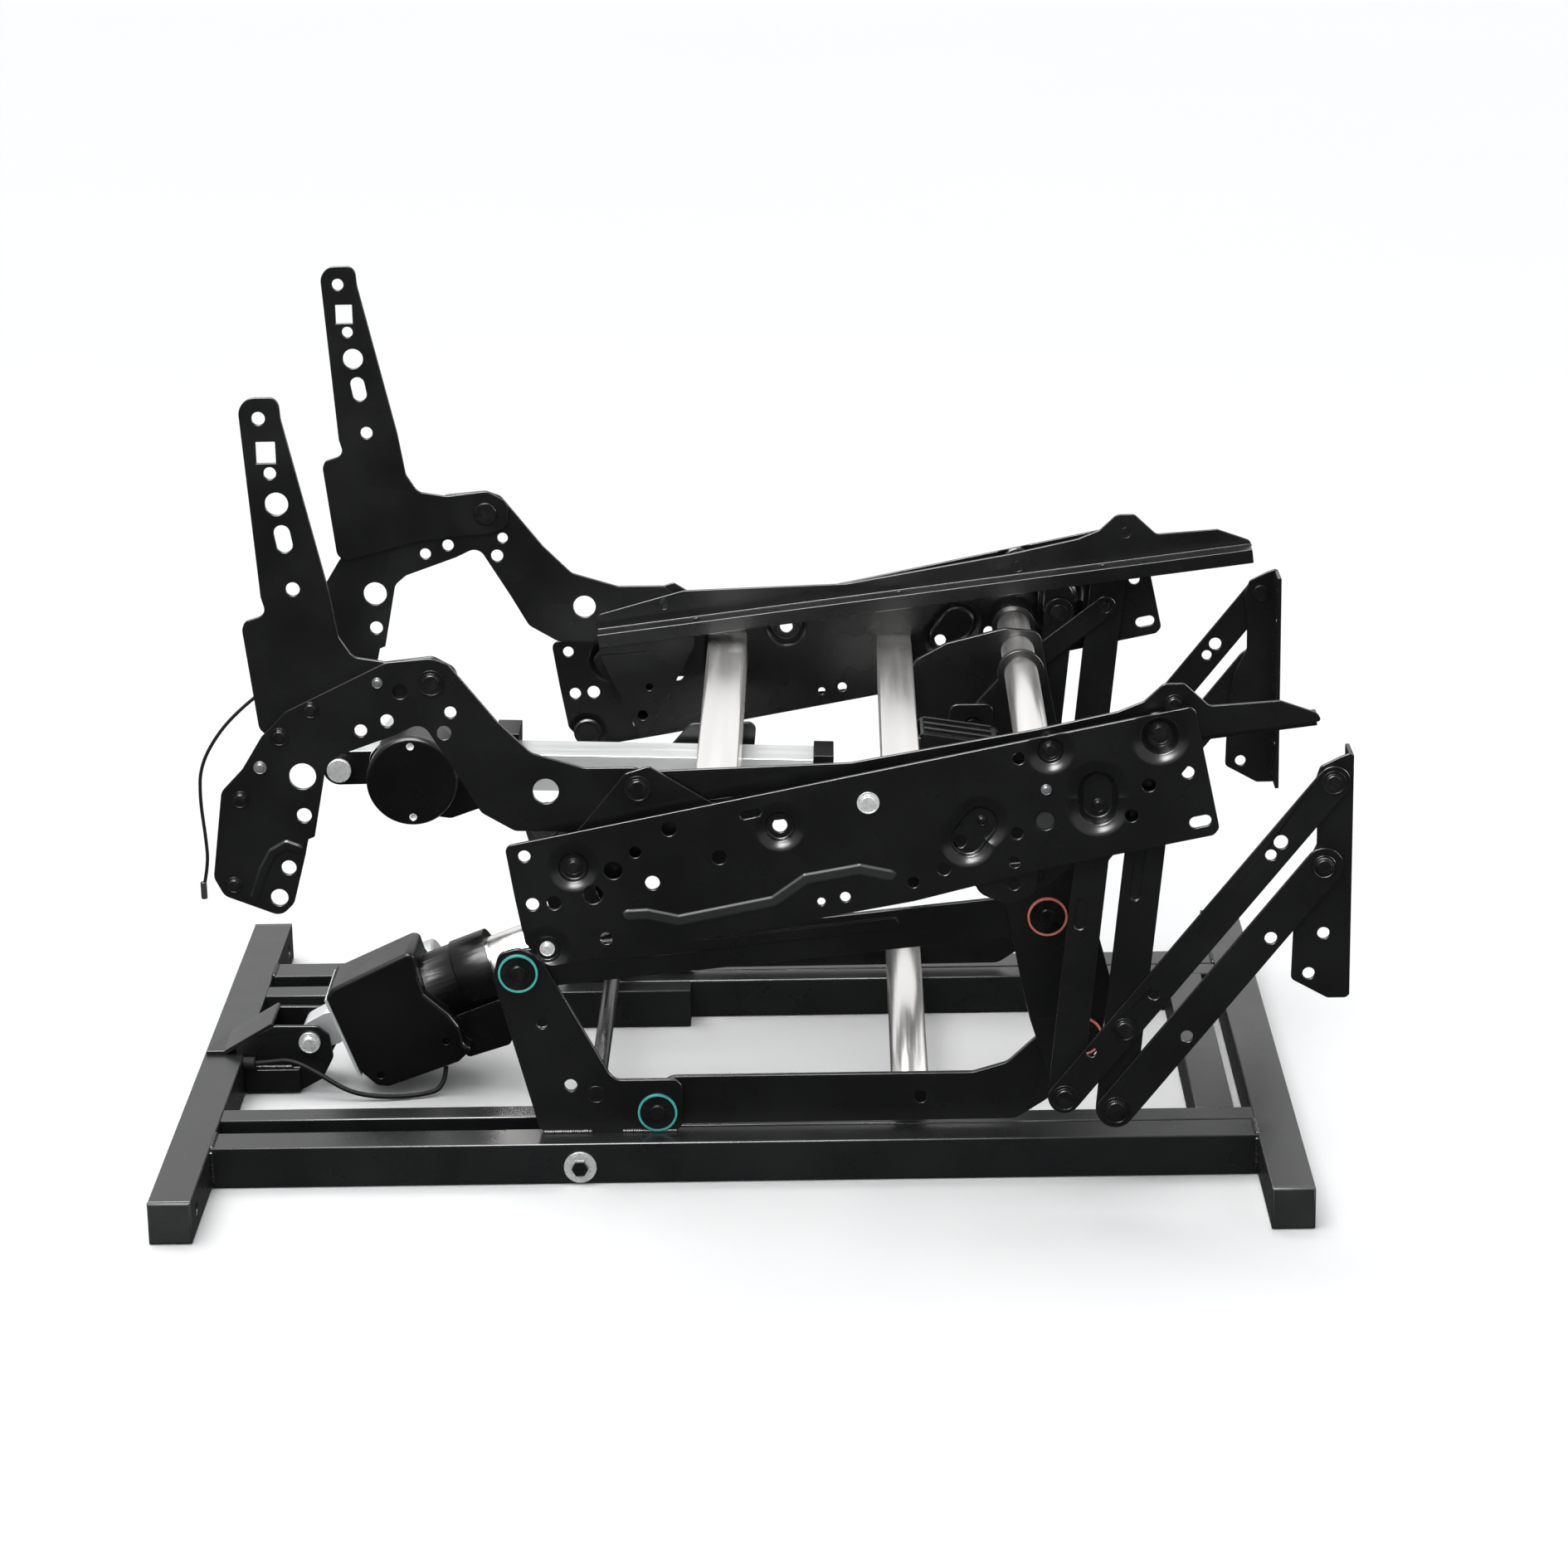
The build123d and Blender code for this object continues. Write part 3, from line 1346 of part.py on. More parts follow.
gear_far = 104.0
gear_face = outline(
    [
        (-270.0, 262.0),
        (-240.0, 258.0),
        (-205.0, 241.5),
        (channel_rear - 1.3, 241.5),
        (channel_rear - 1.3, 208.0),
        (-205.0, 203.0),
        (-225.0, 196.0),
        (-262.0, 202.0),
        (-284.0, 220.0),
        (-284.0, 246.0),
    ],
    8.0,
)
hinge_at = (-308.4, 231.8)
hinge_pin_r = 7.0
hinge_face = bar(hinge_at, (-280.0, 232.0), 26.0) - disc(hinge_at, hinge_pin_r + running)
gear_solid = extrude(across(motor_far) * mirror(gear_face, about=Plane.XZ), amount=gear_far - motor_far)
gear_solid += extrude(across(62.0) * mirror(hinge_face, about=Plane.XZ), amount=gear_far - 62.0)

with BuildPart() as recline_gearbox:
    add(gear_solid)
recline_gearbox.part.label = "recline_gearbox"
export_step(recline_gearbox.part, "parts/recline_gearbox.step")

# Hanger plate welded under the rear seat tube, with the pin through the gearbox lug
saddle_low = 237.8
saddle_top = tube_a_at[1] - tube_a / 2
hanger_face = outline(
    [
        (-322.0, 224.0),
        (-322.0, 240.0),
        (-300.0, 242.0),
        (-250.0, 236.0),
        (-62.0, 232.0),
        (-46.0, saddle_top),
        (4.0, saddle_top),
        (0.0, 212.0),
        (-250.0, 210.0),
    ],
    6.0,
)
hanger_near = gear_far + 1.0
hanger_plate = 4.0
hanger_solid = extrude(across(hanger_near) * mirror(hanger_face, about=Plane.XZ), amount=hanger_plate)
hinge_head_y = 54.0
hinge_head = 4.0
hanger_solid += rod_across(hinge_at, hinge_pin_r, hinge_head_y + 2, hanger_near + 1)
hanger_solid += rod_across(hinge_at, hinge_pin_r + 2, hinge_head_y, hinge_head_y + hinge_head)
hanger_far = hanger_near + hanger_plate
saddle_place = Pos(tube_a_at[0], (channel_in + hanger_far) / 2, (saddle_low + saddle_top) / 2)
hanger_solid += saddle_place * Box(26.0, hanger_far - channel_in, saddle_top - saddle_low)
hanger_solid -= channel_block

with BuildPart() as recline_hanger:
    add(hanger_solid)
recline_hanger.part.label = "recline_hanger"
export_step(recline_hanger.part, "parts/recline_hanger.step")

# Slider under the channel and its push arm with the slot for the centre crank's pin
slider_x = -52.5
slider_long = 44.0
slider_tall = 12.0
slider_gap = 0.5
slider_solid = channel * Pos(slider_x - channel_rear, 0, -channel_tall - slider_gap - slider_tall / 2) * Box(
    slider_long, channel_wide, slider_tall)
tongue = 9.0
slider_solid += channel * Pos(slider_x - channel_rear, 0, -channel_tall + 1.5) * Box(slider_long, tongue, 8.0)

with BuildPart() as recline_slider:
    add(slider_solid)
recline_slider.part.label = "recline_slider"
export_step(recline_slider.part, "parts/recline_slider.step")

slot_play = 1.8
slot_face = slot((push_crank_at[0], 238.5), 2 * push_pin_small + 21.0, 2 * (push_pin_small + slot_play), 90.0)
push_arm_face = outline(
    [
        (slider_x - 20.0, 193.0),
        (slider_x - 20.0, 203.5),
        (slider_x + 22.0, 203.5),
        (130.0, 219.0),
        (147.0, 232.0),
        (151.0, 263.0),
        (183.0, 263.0),
        (183.0, 212.0),
        (176.0, 204.0),
        (slider_x + 22.0, 190.0),
    ],
    6.0,
)
push_arm_face -= slot_face
push_arm_solid = extrude(across(arm_plate_in) * mirror(push_arm_face, about=Plane.XZ),
                         amount=arm_plate_out - arm_plate_in)
push_arm_solid += Pos(slider_x, (channel_out + arm_plate_in) / 2, 197.0) * Box(
    30.0, arm_plate_in - channel_out, 9.0)

with BuildPart() as recline_push_arm:
    add(push_arm_solid)
recline_push_arm.part.label = "recline_push_arm"
export_step(recline_push_arm.part, "parts/recline_push_arm.step")

# Loose motor cable of the lift actuator and the hand control cable
def cable_path(points):
    """Straight runs joined by tangent arcs through the route points."""
    radii = []
    for i in range(1, len(points) - 1):
        a, b, c = Vector(*points[i - 1]), Vector(*points[i]), Vector(*points[i + 1])
        turn_deg = (b - a).get_angle(c - b)
        radii.append(0.45 * min((b - a).length, (c - b).length) / tan(radians(turn_deg) / 2))
    print("cable bend radii", [round(r, 1) for r in radii])
    return FilletPolyline(*points, radius=radii)


def cable(points, r):
    path = cable_path(points)
    start = Plane(origin=path @ 0, z_dir=path % 0)
    return sweep(start * Circle(r), path=path)


motor_cable_r = 1.8
motor_cable_route = [
    (-231.0, -14.0, 20.9),
    (-232.0, -18.0, 5.0),
    (-250.0, -25.0, 2.3),
    (-277.0, -29.0, 2.3),
    (-303.0, -27.0, 6.0),
    (-326.0, -21.0, 19.5),
    (-347.0, -15.5, 28.5),
    (-364.0, -13.0, 25.5),
    (-380.0, -12.5, 24.5),
]
hand_cable_r = 1.2
hand_cable_route = [
    (-338.0, -232.0, 308.0),
    (-318.0, -232.0, 338.0),
    (-303.0, -231.0, 361.0),
    (-311.0, -230.0, 383.0),
    (-335.0, -229.0, 365.0),
    (-354.0, -228.0, 346.0),
    (-368.0, -228.0, 322.0),
    (-369.5, -228.0, 298.0),
    (-367.0, -228.0, 270.0),
    (-366.5, -228.0, 251.0),
    (-370.5, -228.0, 235.0),
]
motor_cable_solid = cable(motor_cable_route, motor_cable_r)
hand_cable_solid = cable(hand_cable_route, hand_cable_r)

with BuildPart() as motor_cable:
    add(motor_cable_solid)
motor_cable.part.label = "motor_cable"
export_step(motor_cable.part, "parts/motor_cable.step")

with BuildPart() as hand_cable:
    add(hand_cable_solid)
hand_cable.part.label = "hand_cable"
export_step(hand_cable.part, "parts/hand_cable.step")

# Plug of the hand cable and the rubber ring where the motor cable enters the rear tube
plug_long, plug_r = 12.0, 2.2
plug_end = hand_cable_route[-1]
plug_solid = Pos(plug_end[0], plug_end[1], plug_end[2] - plug_long / 2 + 4.0) * Cylinder(plug_r, plug_long)
plug_solid = fillet(plug_solid.edges(), 0.6)
cord_play = 0.6
plug_solid -= hand_cable_solid
clip_at = hand_cable_route[0]
clip_long, clip_high = 12.0, 14.0
clip_deep = 19.0
clip_place = Pos(clip_at[0], -arm_in + clip_deep / 2, clip_at[2] - clip_high / 2 + 4.0)
clip_solid = clip_place * Box(clip_long, clip_deep, clip_high)
clip_solid -= hand_cable_solid
grommet_r = 5.2
grommet_long = 9.0
grommet_at = motor_cable_route[-1]
entry = Plane(origin=(rear_inner_face, grommet_at[1], grommet_at[2]), x_dir=(0, 1, 0), z_dir=(1, 0, 0))
grommet_solid = extrude(entry * Circle(grommet_r), amount=grommet_long)
grommet_solid = fillet(grommet_solid.edges().group_by(Axis.X)[-1], 1.5)
grommet_solid -= extrude(entry * Circle(motor_cable_r + cord_play), amount=grommet_long)
grommet_solid -= motor_cable_solid

with BuildPart() as cable_plug:
    add(plug_solid)
    add(clip_solid)
cable_plug.part.label = "cable_plug"
export_step(cable_plug.part, "parts/cable_plug.step")

with BuildPart() as cable_grommet:
    add(grommet_solid)
cable_grommet.part.label = "cable_grommet"
export_step(cable_grommet.part, "parts/cable_grommet.step")
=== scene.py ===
"""Looks of the recliner lift mechanism: camera, light, materials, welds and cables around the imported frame."""
import json
import math
import random

import bmesh
import bpy
from mathutils import Matrix, Vector


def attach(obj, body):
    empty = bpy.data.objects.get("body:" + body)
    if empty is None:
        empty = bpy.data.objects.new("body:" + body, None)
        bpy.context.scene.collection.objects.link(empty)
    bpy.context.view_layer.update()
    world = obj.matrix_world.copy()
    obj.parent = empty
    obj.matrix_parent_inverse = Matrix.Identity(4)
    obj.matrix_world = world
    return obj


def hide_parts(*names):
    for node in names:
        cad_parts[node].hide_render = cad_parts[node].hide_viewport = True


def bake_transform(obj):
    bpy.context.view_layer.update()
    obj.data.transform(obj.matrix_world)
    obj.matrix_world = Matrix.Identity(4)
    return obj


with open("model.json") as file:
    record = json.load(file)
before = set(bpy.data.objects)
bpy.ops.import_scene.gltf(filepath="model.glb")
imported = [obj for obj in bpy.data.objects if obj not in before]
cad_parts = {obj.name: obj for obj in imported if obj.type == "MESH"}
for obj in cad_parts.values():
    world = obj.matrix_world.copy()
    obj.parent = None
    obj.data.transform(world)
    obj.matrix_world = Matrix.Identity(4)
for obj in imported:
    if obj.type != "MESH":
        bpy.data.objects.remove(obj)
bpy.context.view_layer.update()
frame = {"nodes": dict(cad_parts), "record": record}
nodes = frame["nodes"]
MM = 0.001


# Camera fitted to the photograph
def set_camera():
    yaw, pitch, roll = math.radians(-0.836), math.radians(17.0), math.radians(-1.12)
    forward = Vector((math.sin(yaw) * math.cos(pitch), math.cos(yaw) * math.cos(pitch), -math.sin(pitch)))
    right = Vector((math.cos(yaw), -math.sin(yaw), 0))
    up = right.cross(forward)
    image_right = math.cos(roll) * right + math.sin(roll) * up
    image_up = -math.sin(roll) * right + math.cos(roll) * up
    data = bpy.data.cameras.new("camera")
    data.sensor_width = 36.0
    data.lens = 5200.0 / 1890.0 * data.sensor_width
    data.clip_end = 60.0
    camera = bpy.data.objects.new("camera", data)
    bpy.context.collection.objects.link(camera)
    turn = Matrix((image_right, image_up, -forward)).transposed().to_4x4()
    camera.matrix_world = Matrix.Translation((0.06969, -3.03333, 1.16057)) @ turn
    bpy.context.scene.camera = camera


set_camera()
bpy.context.scene.view_settings.view_transform = "Standard"


# Light
def area_lamp(name, place, target, size, size_y, power, only_glints=False):
    """Rectangular lamp; with only_glints it is seen in reflections and lights no matt surface."""
    data = bpy.data.lights.new(name, "AREA")
    data.shape = "RECTANGLE"
    data.size = size
    data.size_y = size_y
    data.energy = power
    lamp = bpy.data.objects.new(name, data)
    lamp.location = place
    lamp.rotation_euler = (Vector(target) - Vector(place)).to_track_quat("-Z", "Y").to_euler()
    lamp.visible_diffuse = not only_glints
    bpy.context.collection.objects.link(lamp)


def set_light():
    """White backdrop; reflections see it above the horizon only, as behind a white sweep in a dark room."""
    world = bpy.data.worlds.new("studio")
    bpy.context.scene.world = world
    world.use_nodes = True
    tree = world.node_tree
    tree.nodes.clear()
    out = tree.nodes.new("ShaderNodeOutputWorld")
    path = tree.nodes.new("ShaderNodeLightPath")
    coords = tree.nodes.new("ShaderNodeTexCoord")
    height = tree.nodes.new("ShaderNodeSeparateXYZ")
    tree.links.new(coords.outputs["Generated"], height.inputs[0])
    room = tree.nodes.new("ShaderNodeMapRange")
    room.inputs["From Min"].default_value = -0.12
    room.inputs["From Max"].default_value = 0.1
    room.inputs["To Min"].default_value = 0.06
    room.inputs["To Max"].default_value = 1.0
    tree.links.new(height.outputs["Z"], room.inputs["Value"])
    shades = []
    for colour, strength in (((0.96, 0.98, 1), 0.5), ((1, 1, 1), 1.0), ((1, 1, 1), 1.0)):
        shade = tree.nodes.new("ShaderNodeBackground")
        shade.inputs["Color"].default_value = (*colour, 1)
        shade.inputs["Strength"].default_value = strength
        shades.append(shade)
    tree.links.new(room.outputs["Result"], shades[1].inputs["Strength"])
    mirrored = tree.nodes.new("ShaderNodeMixShader")
    seen = tree.nodes.new("ShaderNodeMixShader")
    tree.links.new(path.outputs["Is Glossy Ray"], mirrored.inputs[0])
    tree.links.new(shades[0].outputs[0], mirrored.inputs[1])
    tree.links.new(shades[1].outputs[0], mirrored.inputs[2])
    tree.links.new(path.outputs["Is Camera Ray"], seen.inputs[0])
    tree.links.new(mirrored.outputs[0], seen.inputs[1])
    tree.links.new(shades[2].outputs[0], seen.inputs[2])
    tree.links.new(seen.outputs[0], out.inputs["Surface"])
    sun = bpy.data.lights.new("overhead", "SUN")
    sun.energy = 1.75
    sun.angle = math.radians(50)
    lamp = bpy.data.objects.new("overhead", sun)
    lamp.rotation_euler = Vector((0.28, -0.3, -1)).to_track_quat("-Z", "Y").to_euler()
    bpy.context.collection.objects.link(lamp)
    area_lamp("key", (-0.9, -1.6, 2.6), (0, 0, 0.2), 1.2, 1.2, 12)
    area_lamp("side", (2.4, -0.9, 1.5), (0, 0, 0.2), 0.6, 1.6, 6)
    area_lamp("glint_top", (-0.5, -0.1, 2.6), (-0.1, 0, 0.2), 2.0, 1.3, 170, True)
    area_lamp("glint_front", (-0.5, -1.5, 2.1), (-0.1, 0, 0.2), 1.6, 1.1, 250, True)
    area_lamp("glint_right", (2.3, 0.5, 1.2), (0.2, 0, 0.2), 0.8, 1.6, 160, True)


set_light()


# Materials
def new_material(name):
    material = bpy.data.materials.new(name)
    material.use_nodes = True
    tree = material.node_tree
    shader = tree.nodes["Principled BSDF"]
    coords = tree.nodes.new("ShaderNodeTexCoord")
    return material, tree, shader, coords.outputs["Object"]


def noise(tree, vector, scale, detail=3.0, stretch=(1, 1, 1)):
    mapping = tree.nodes.new("ShaderNodeMapping")
    mapping.inputs["Scale"].default_value = stretch
    tree.links.new(vector, mapping.inputs["Vector"])
    node = tree.nodes.new("ShaderNodeTexNoise")
    node.inputs["Scale"].default_value = scale
    node.inputs["Detail"].default_value = detail
    tree.links.new(mapping.outputs["Vector"], node.inputs["Vector"])
    return node.outputs["Fac"]


def ramp(tree, value, low, high, start=0.3, end=0.7):
    node = tree.nodes.new("ShaderNodeValToRGB")
    node.color_ramp.elements[0].position = start
    node.color_ramp.elements[1].position = end
    node.color_ramp.elements[0].color = (*low, 1) if isinstance(low, tuple) else (low, low, low, 1)
    node.color_ramp.elements[1].color = (*high, 1) if isinstance(high, tuple) else (high, high, high, 1)
    tree.links.new(value, node.inputs["Fac"])
    return node.outputs["Color"]


def bump(tree, shader, height, strength, distance=0.0004, chain=None):
    node = tree.nodes.new("ShaderNodeBump")
    node.inputs["Strength"].default_value = strength
    node.inputs["Distance"].default_value = distance
    tree.links.new(height, node.inputs["Height"])
    if chain:
        tree.links.new(chain, node.inputs["Normal"])
    tree.links.new(node.outputs["Normal"], shader.inputs["Normal"])
    return node.outputs["Normal"]


def finish_of(name, low, high, rough_low, rough_high, metal=0.0, scale=9.0, grain=700.0, grain_strength=0.12,
              specular=0.5, stretch=(1, 1, 1), grain_stretch=(1, 1, 1)):
    """Procedural finish: slow colour and gloss variation with a fine surface grain."""
    material, tree, shader, vector = new_material(name)
    tree.links.new(ramp(tree, noise(tree, vector, scale, 4, stretch), low, high), shader.inputs["Base Color"])
    tree.links.new(ramp(tree, noise(tree, vector, scale * 2.3, 4, stretch), rough_low, rough_high),
                   shader.inputs["Roughness"])
    shader.inputs["Metallic"].default_value = metal
    shader.inputs["Specular IOR Level"].default_value = specular
    bump(tree, shader, noise(tree, vector, grain, 2, grain_stretch), grain_strength)
    return material


black_steel = finish_of("black_steel", (0.005, 0.0052, 0.0054), (0.0085, 0.0088, 0.009), 0.22, 0.32, grain=1400,
                        grain_strength=0.02, specular=0.35)
black_frame = finish_of("black_frame", (0.008, 0.0086, 0.009), (0.013, 0.014, 0.0145), 0.24, 0.34, grain=1200,
                        grain_strength=0.02, specular=0.42)
rivet_black = finish_of("rivet_black", (0.003, 0.003, 0.0033), (0.012, 0.012, 0.013), 0.2, 0.34, scale=60, grain=900,
                        grain_strength=0.2, specular=0.35)
bright = finish_of("bright_tube", (0.8, 0.785, 0.765), (0.87, 0.855, 0.835), 0.2, 0.26, metal=0.9, scale=20,
                   grain=420, grain_strength=0.025, stretch=(3, 0.12, 3), grain_stretch=(6, 0.1, 6))
bolt_steel = finish_of("bolt_steel", (0.74, 0.74, 0.74), (0.88, 0.88, 0.88), 0.22, 0.36, metal=0.45, scale=120,
                       grain=500, grain_strength=0.12)
rivet_grey = finish_of("rivet_grey", (0.16, 0.16, 0.165), (0.3, 0.3, 0.31), 0.3, 0.45, metal=0.6, scale=90, grain=700,
                       grain_strength=0.2)
teal = finish_of("teal_rim", (0.03, 0.42, 0.39), (0.06, 0.58, 0.53), 0.3, 0.45, scale=80)
copper = finish_of("copper_rim", (0.55, 0.13, 0.08), (0.72, 0.22, 0.14), 0.3, 0.45, scale=80)
plastic = finish_of("black_plastic", (0.003, 0.003, 0.0032), (0.006, 0.006, 0.0062), 0.24, 0.34, grain=600,
                    grain_strength=0.05, specular=0.2)
cap_plastic = finish_of("cap_plastic", (0.01, 0.0108, 0.011), (0.017, 0.018, 0.0185), 0.42, 0.56, grain=900,
                        grain_strength=0.25, specular=0.4)
grey_cast = finish_of("grey_cast", (0.56, 0.58, 0.58), (0.68, 0.7, 0.7), 0.36, 0.46, metal=0.3, grain=800,
                      grain_strength=0.15)
grey_channel = finish_of("grey_channel", (0.6, 0.61, 0.61), (0.7, 0.71, 0.71), 0.34, 0.42, metal=0.4, scale=14,
                         grain=500, grain_strength=0.08, stretch=(0.2, 4, 4), grain_stretch=(0.1, 6, 6))
# Crease finish: duller than black_steel, with a lighter painted grey that stands in for the light band falling on the
# raised line
ridge_painted_light = finish_of("ridge_painted_light", (0.011, 0.012, 0.0125), (0.017, 0.018, 0.0185), 0.46, 0.56, grain=1400,
                        grain_strength=0.02, specular=0.2)
rubber = finish_of("rubber", (0.004, 0.004, 0.004), (0.009, 0.009, 0.009), 0.55, 0.7, scale=40, grain=900,
                   specular=0.1)
weld_black = finish_of("weld_black", (0.004, 0.004, 0.004), (0.02, 0.018, 0.016), 0.2, 0.42, scale=180, grain=320,
                       grain_strength=0.5, specular=0.4)

finish_by_slot = {
    "black_steel": black_steel,
    "black_rivet": rivet_black,
    "bright_tube": bright,
    "bright_bolt": bolt_steel,
    "teal_bush": teal,
    "copper_bush": copper,
    "black_plastic": plastic,
    "cap_plastic": cap_plastic,
    "grey_cast": grey_cast,
    "grey_channel": grey_channel,
    "rubber": rubber,
}
base_nodes = ["rear_cross_tube", "front_cross_tube", "side_rails", "inner_rails", "inner_cross_tube"]
fine_nodes = ["pedestal_pins", "riser_pins", "pedestal_rings", "riser_rings", "frame_rivets", "front_leg_rivets",
              "upper_foot_rivets", "clevis_bolt", "rail_bolts", "cable_plug", "cable_grommet", "push_bracket"]
edge_width = 0.55 * MM
fine_edge = 0.16 * MM


def dress_nodes():
    """Give each carried-over node its finish and a small edge radius that catches the light."""
    for row in frame["record"]["subparts"]:
        node = nodes[row["node"]]
        node.data.materials.clear()
        node.data.materials.append(black_frame if row["node"] in base_nodes else finish_by_slot[row["material_slot"]])
        weld = node.modifiers.new("join", "WELD")
        weld.merge_threshold = 1e-6
        flat = node.modifiers.new("flat", "DECIMATE")
        flat.decimate_type = "DISSOLVE"
        flat.angle_limit = math.radians(0.4)
        edge = node.modifiers.new("edge", "BEVEL")
        edge.width = fine_edge if row["node"] in fine_nodes else edge_width
        edge.segments = 2
        edge.limit_method = "ANGLE"
        edge.angle_limit = math.radians(30)
        edge.harden_normals = True
        edge.use_clamp_overlap = False


dress_nodes()


def repaint(node_name, finish, test):
    """Give another finish to the faces of a node whose centre, in millimetres, passes the test."""
    node = nodes[node_name]
    node.data.materials.append(finish)
    turn = node.matrix_world
    for face in node.data.polygons:
        if test(turn @ face.center / MM):
            face.material_index = len(node.data.materials) - 1


def near(spots, reach):
    """Test that a face centre lies within reach of one of the spots in the side view, in millimetres."""
    return lambda at: any(math.hypot(at.x - x, at.z - z) < reach for x, z in spots)


def pressed(node_name, spots):
    """Shade a soft pressed slope round each dish of a plate; spots are (x, z, radius) in millimetres."""
    node = nodes[node_name]
    material = node.data.materials[0].copy()
    material.name = "pressed_" + node_name
    node.data.materials[0] = material
    tree = material.node_tree
    grain = next(n for n in tree.nodes if n.type == "BUMP")
    coords = next(n for n in tree.nodes if n.type == "TEX_COORD")
    flat = tree.nodes.new("ShaderNodeMapping")
    flat.inputs["Scale"].default_value = (1, 0, 1)
    tree.links.new(coords.outputs["Object"], flat.inputs["Vector"])
    height = None
    for x, z, radius in spots:
        at = node.matrix_world.inverted() @ (Vector((x, 0, z)) * MM)
        gap = tree.nodes.new("ShaderNodeVectorMath")
        gap.operation = "DISTANCE"
        gap.inputs[1].default_value = (at.x, 0, at.z)
        tree.links.new(flat.outputs["Vector"], gap.inputs[0])
        slope = tree.nodes.new("ShaderNodeMapRange")
        slope.interpolation_type = "SMOOTHSTEP"
        slope.inputs["From Min"].default_value = (radius - 2) * MM
        slope.inputs["From Max"].default_value = (radius + 8) * MM
        tree.links.new(gap.outputs["Value"], slope.inputs["Value"])
        if height is None:
            height = slope.outputs["Result"]
        else:
            lower = tree.nodes.new("ShaderNodeMath")
            lower.operation = "MINIMUM"
            tree.links.new(height, lower.inputs[0])
            tree.links.new(slope.outputs["Result"], lower.inputs[1])
            height = lower.outputs["Value"]
    shader = tree.nodes["Principled BSDF"]
    bump(tree, shader, height, 1.0, 0.004, grain.outputs["Normal"])


repaint("frame_rivets", rivet_grey, near([(-324.4, 326.3), (-242.6, 384.3), (205.2, 307.2)], 6.0))
repaint("frame_rivets", bolt_steel, near([(85.6, 299.8), (-133.9, 198.7)], 9.0))
repaint("rail_bolts", rivet_black, lambda at: abs(at.y) > 198.9)
repaint("torque_tube", cap_plastic, lambda at: abs(at.y) > 259.0)
repaint("recline_hanger", bolt_steel, near([(-308.4, 231.8)], 9.0))
repaint("recline_motor", bolt_steel, near([(-247.5, 269.0), (-247.5, 215.0)], 3.6))
repaint("recline_gearbox", plastic, lambda at: at.z < 236.0 or at.x > -262.0)

# Side plates: raised line and dishes, in millimetres
crease = [(-78, 222.5), (-65, 223), (-44, 218.2), (21, 230.8), (43, 246.4), (79, 252.6), (100, 248)]
crease_from = max(abs(v.co.y) for v in nodes["side_plate_right"].data.vertices) / MM - 1.0
dishes = [
    (-114.2, 257.2, 10),
    (-133.9, 198.7, 9),
    (25.9, 283.8, 10),
    (208, 334.2, 9),
    (152.3, 272.7, 12),
    (160.9, 283.7, 12),
    (240, 306, 14),
    (240, 295, 14),
    (281.5, 343.4, 13),
]


def on_crease(at):
    """True on the raised line of a side plate, outside its sheet."""
    for (x0, z0), (x1, z1) in zip(crease, crease[1:]):
        t = ((at.x - x0) * (x1 - x0) + (at.z - z0) * (z1 - z0)) / ((x1 - x0) ** 2 + (z1 - z0) ** 2)
        t = min(1.0, max(0.0, t))
        if math.hypot(at.x - x0 - t * (x1 - x0), at.z - z0 - t * (z1 - z0)) < 7.0:
            return abs(at.y) > crease_from
    return False


for plate in ("side_plate_right", "side_plate_left"):
    # the raised line gets the painted light band; the dishes get a bump slope
    repaint(plate, ridge_painted_light, on_crease)
    pressed(plate, dishes)


# Weld beads
def bead(name, start, end, radius, body, seed):
    """Rippled weld bead along a straight joint, in millimetres."""
    draw = random.Random(seed)
    start, end = Vector(start) * MM, Vector(end) * MM
    radius *= MM
    along = (end - start).normalized()
    side = along.orthogonal().normalized()
    other = along.cross(side)
    run = (end - start).length
    steps = max(6, int(run / (radius * 0.32)))
    around = 12
    mesh = bmesh.new()
    rings = []
    for i in range(steps + 1):
        t = i / steps
        ripple = 0.84 + 0.2 * abs(math.sin(i * 1.05)) + draw.uniform(-0.05, 0.05)
        close = min(1.0, 0.35 + 2.2 * min(t, 1 - t) * steps / 6)
        centre = start + along * run * t + side * draw.uniform(-0.08, 0.08) * radius
        ring = []
        for k in range(around):
            a = 2 * math.pi * k / around
            r = radius * ripple * close * (1 + draw.uniform(-0.06, 0.06))
            ring.append(mesh.verts.new(centre + (side * math.cos(a) + other * math.sin(a)) * r))
        rings.append(ring)
    for i in range(steps):
        for k in range(around):
            mesh.faces.new((rings[i][k], rings[i][(k + 1) % around], rings[i + 1][(k + 1) % around], rings[i + 1][k]))
    mesh.faces.new(list(reversed(rings[0])))
    mesh.faces.new(rings[-1])
    for face in mesh.faces:
        face.smooth = True
    data = bpy.data.meshes.new(name)
    mesh.to_mesh(data)
    mesh.free()
    piece = bpy.data.objects.new(name, data)
    bpy.context.collection.objects.link(piece)
    piece.data.materials.append(weld_black)
    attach(piece, body)
    return piece


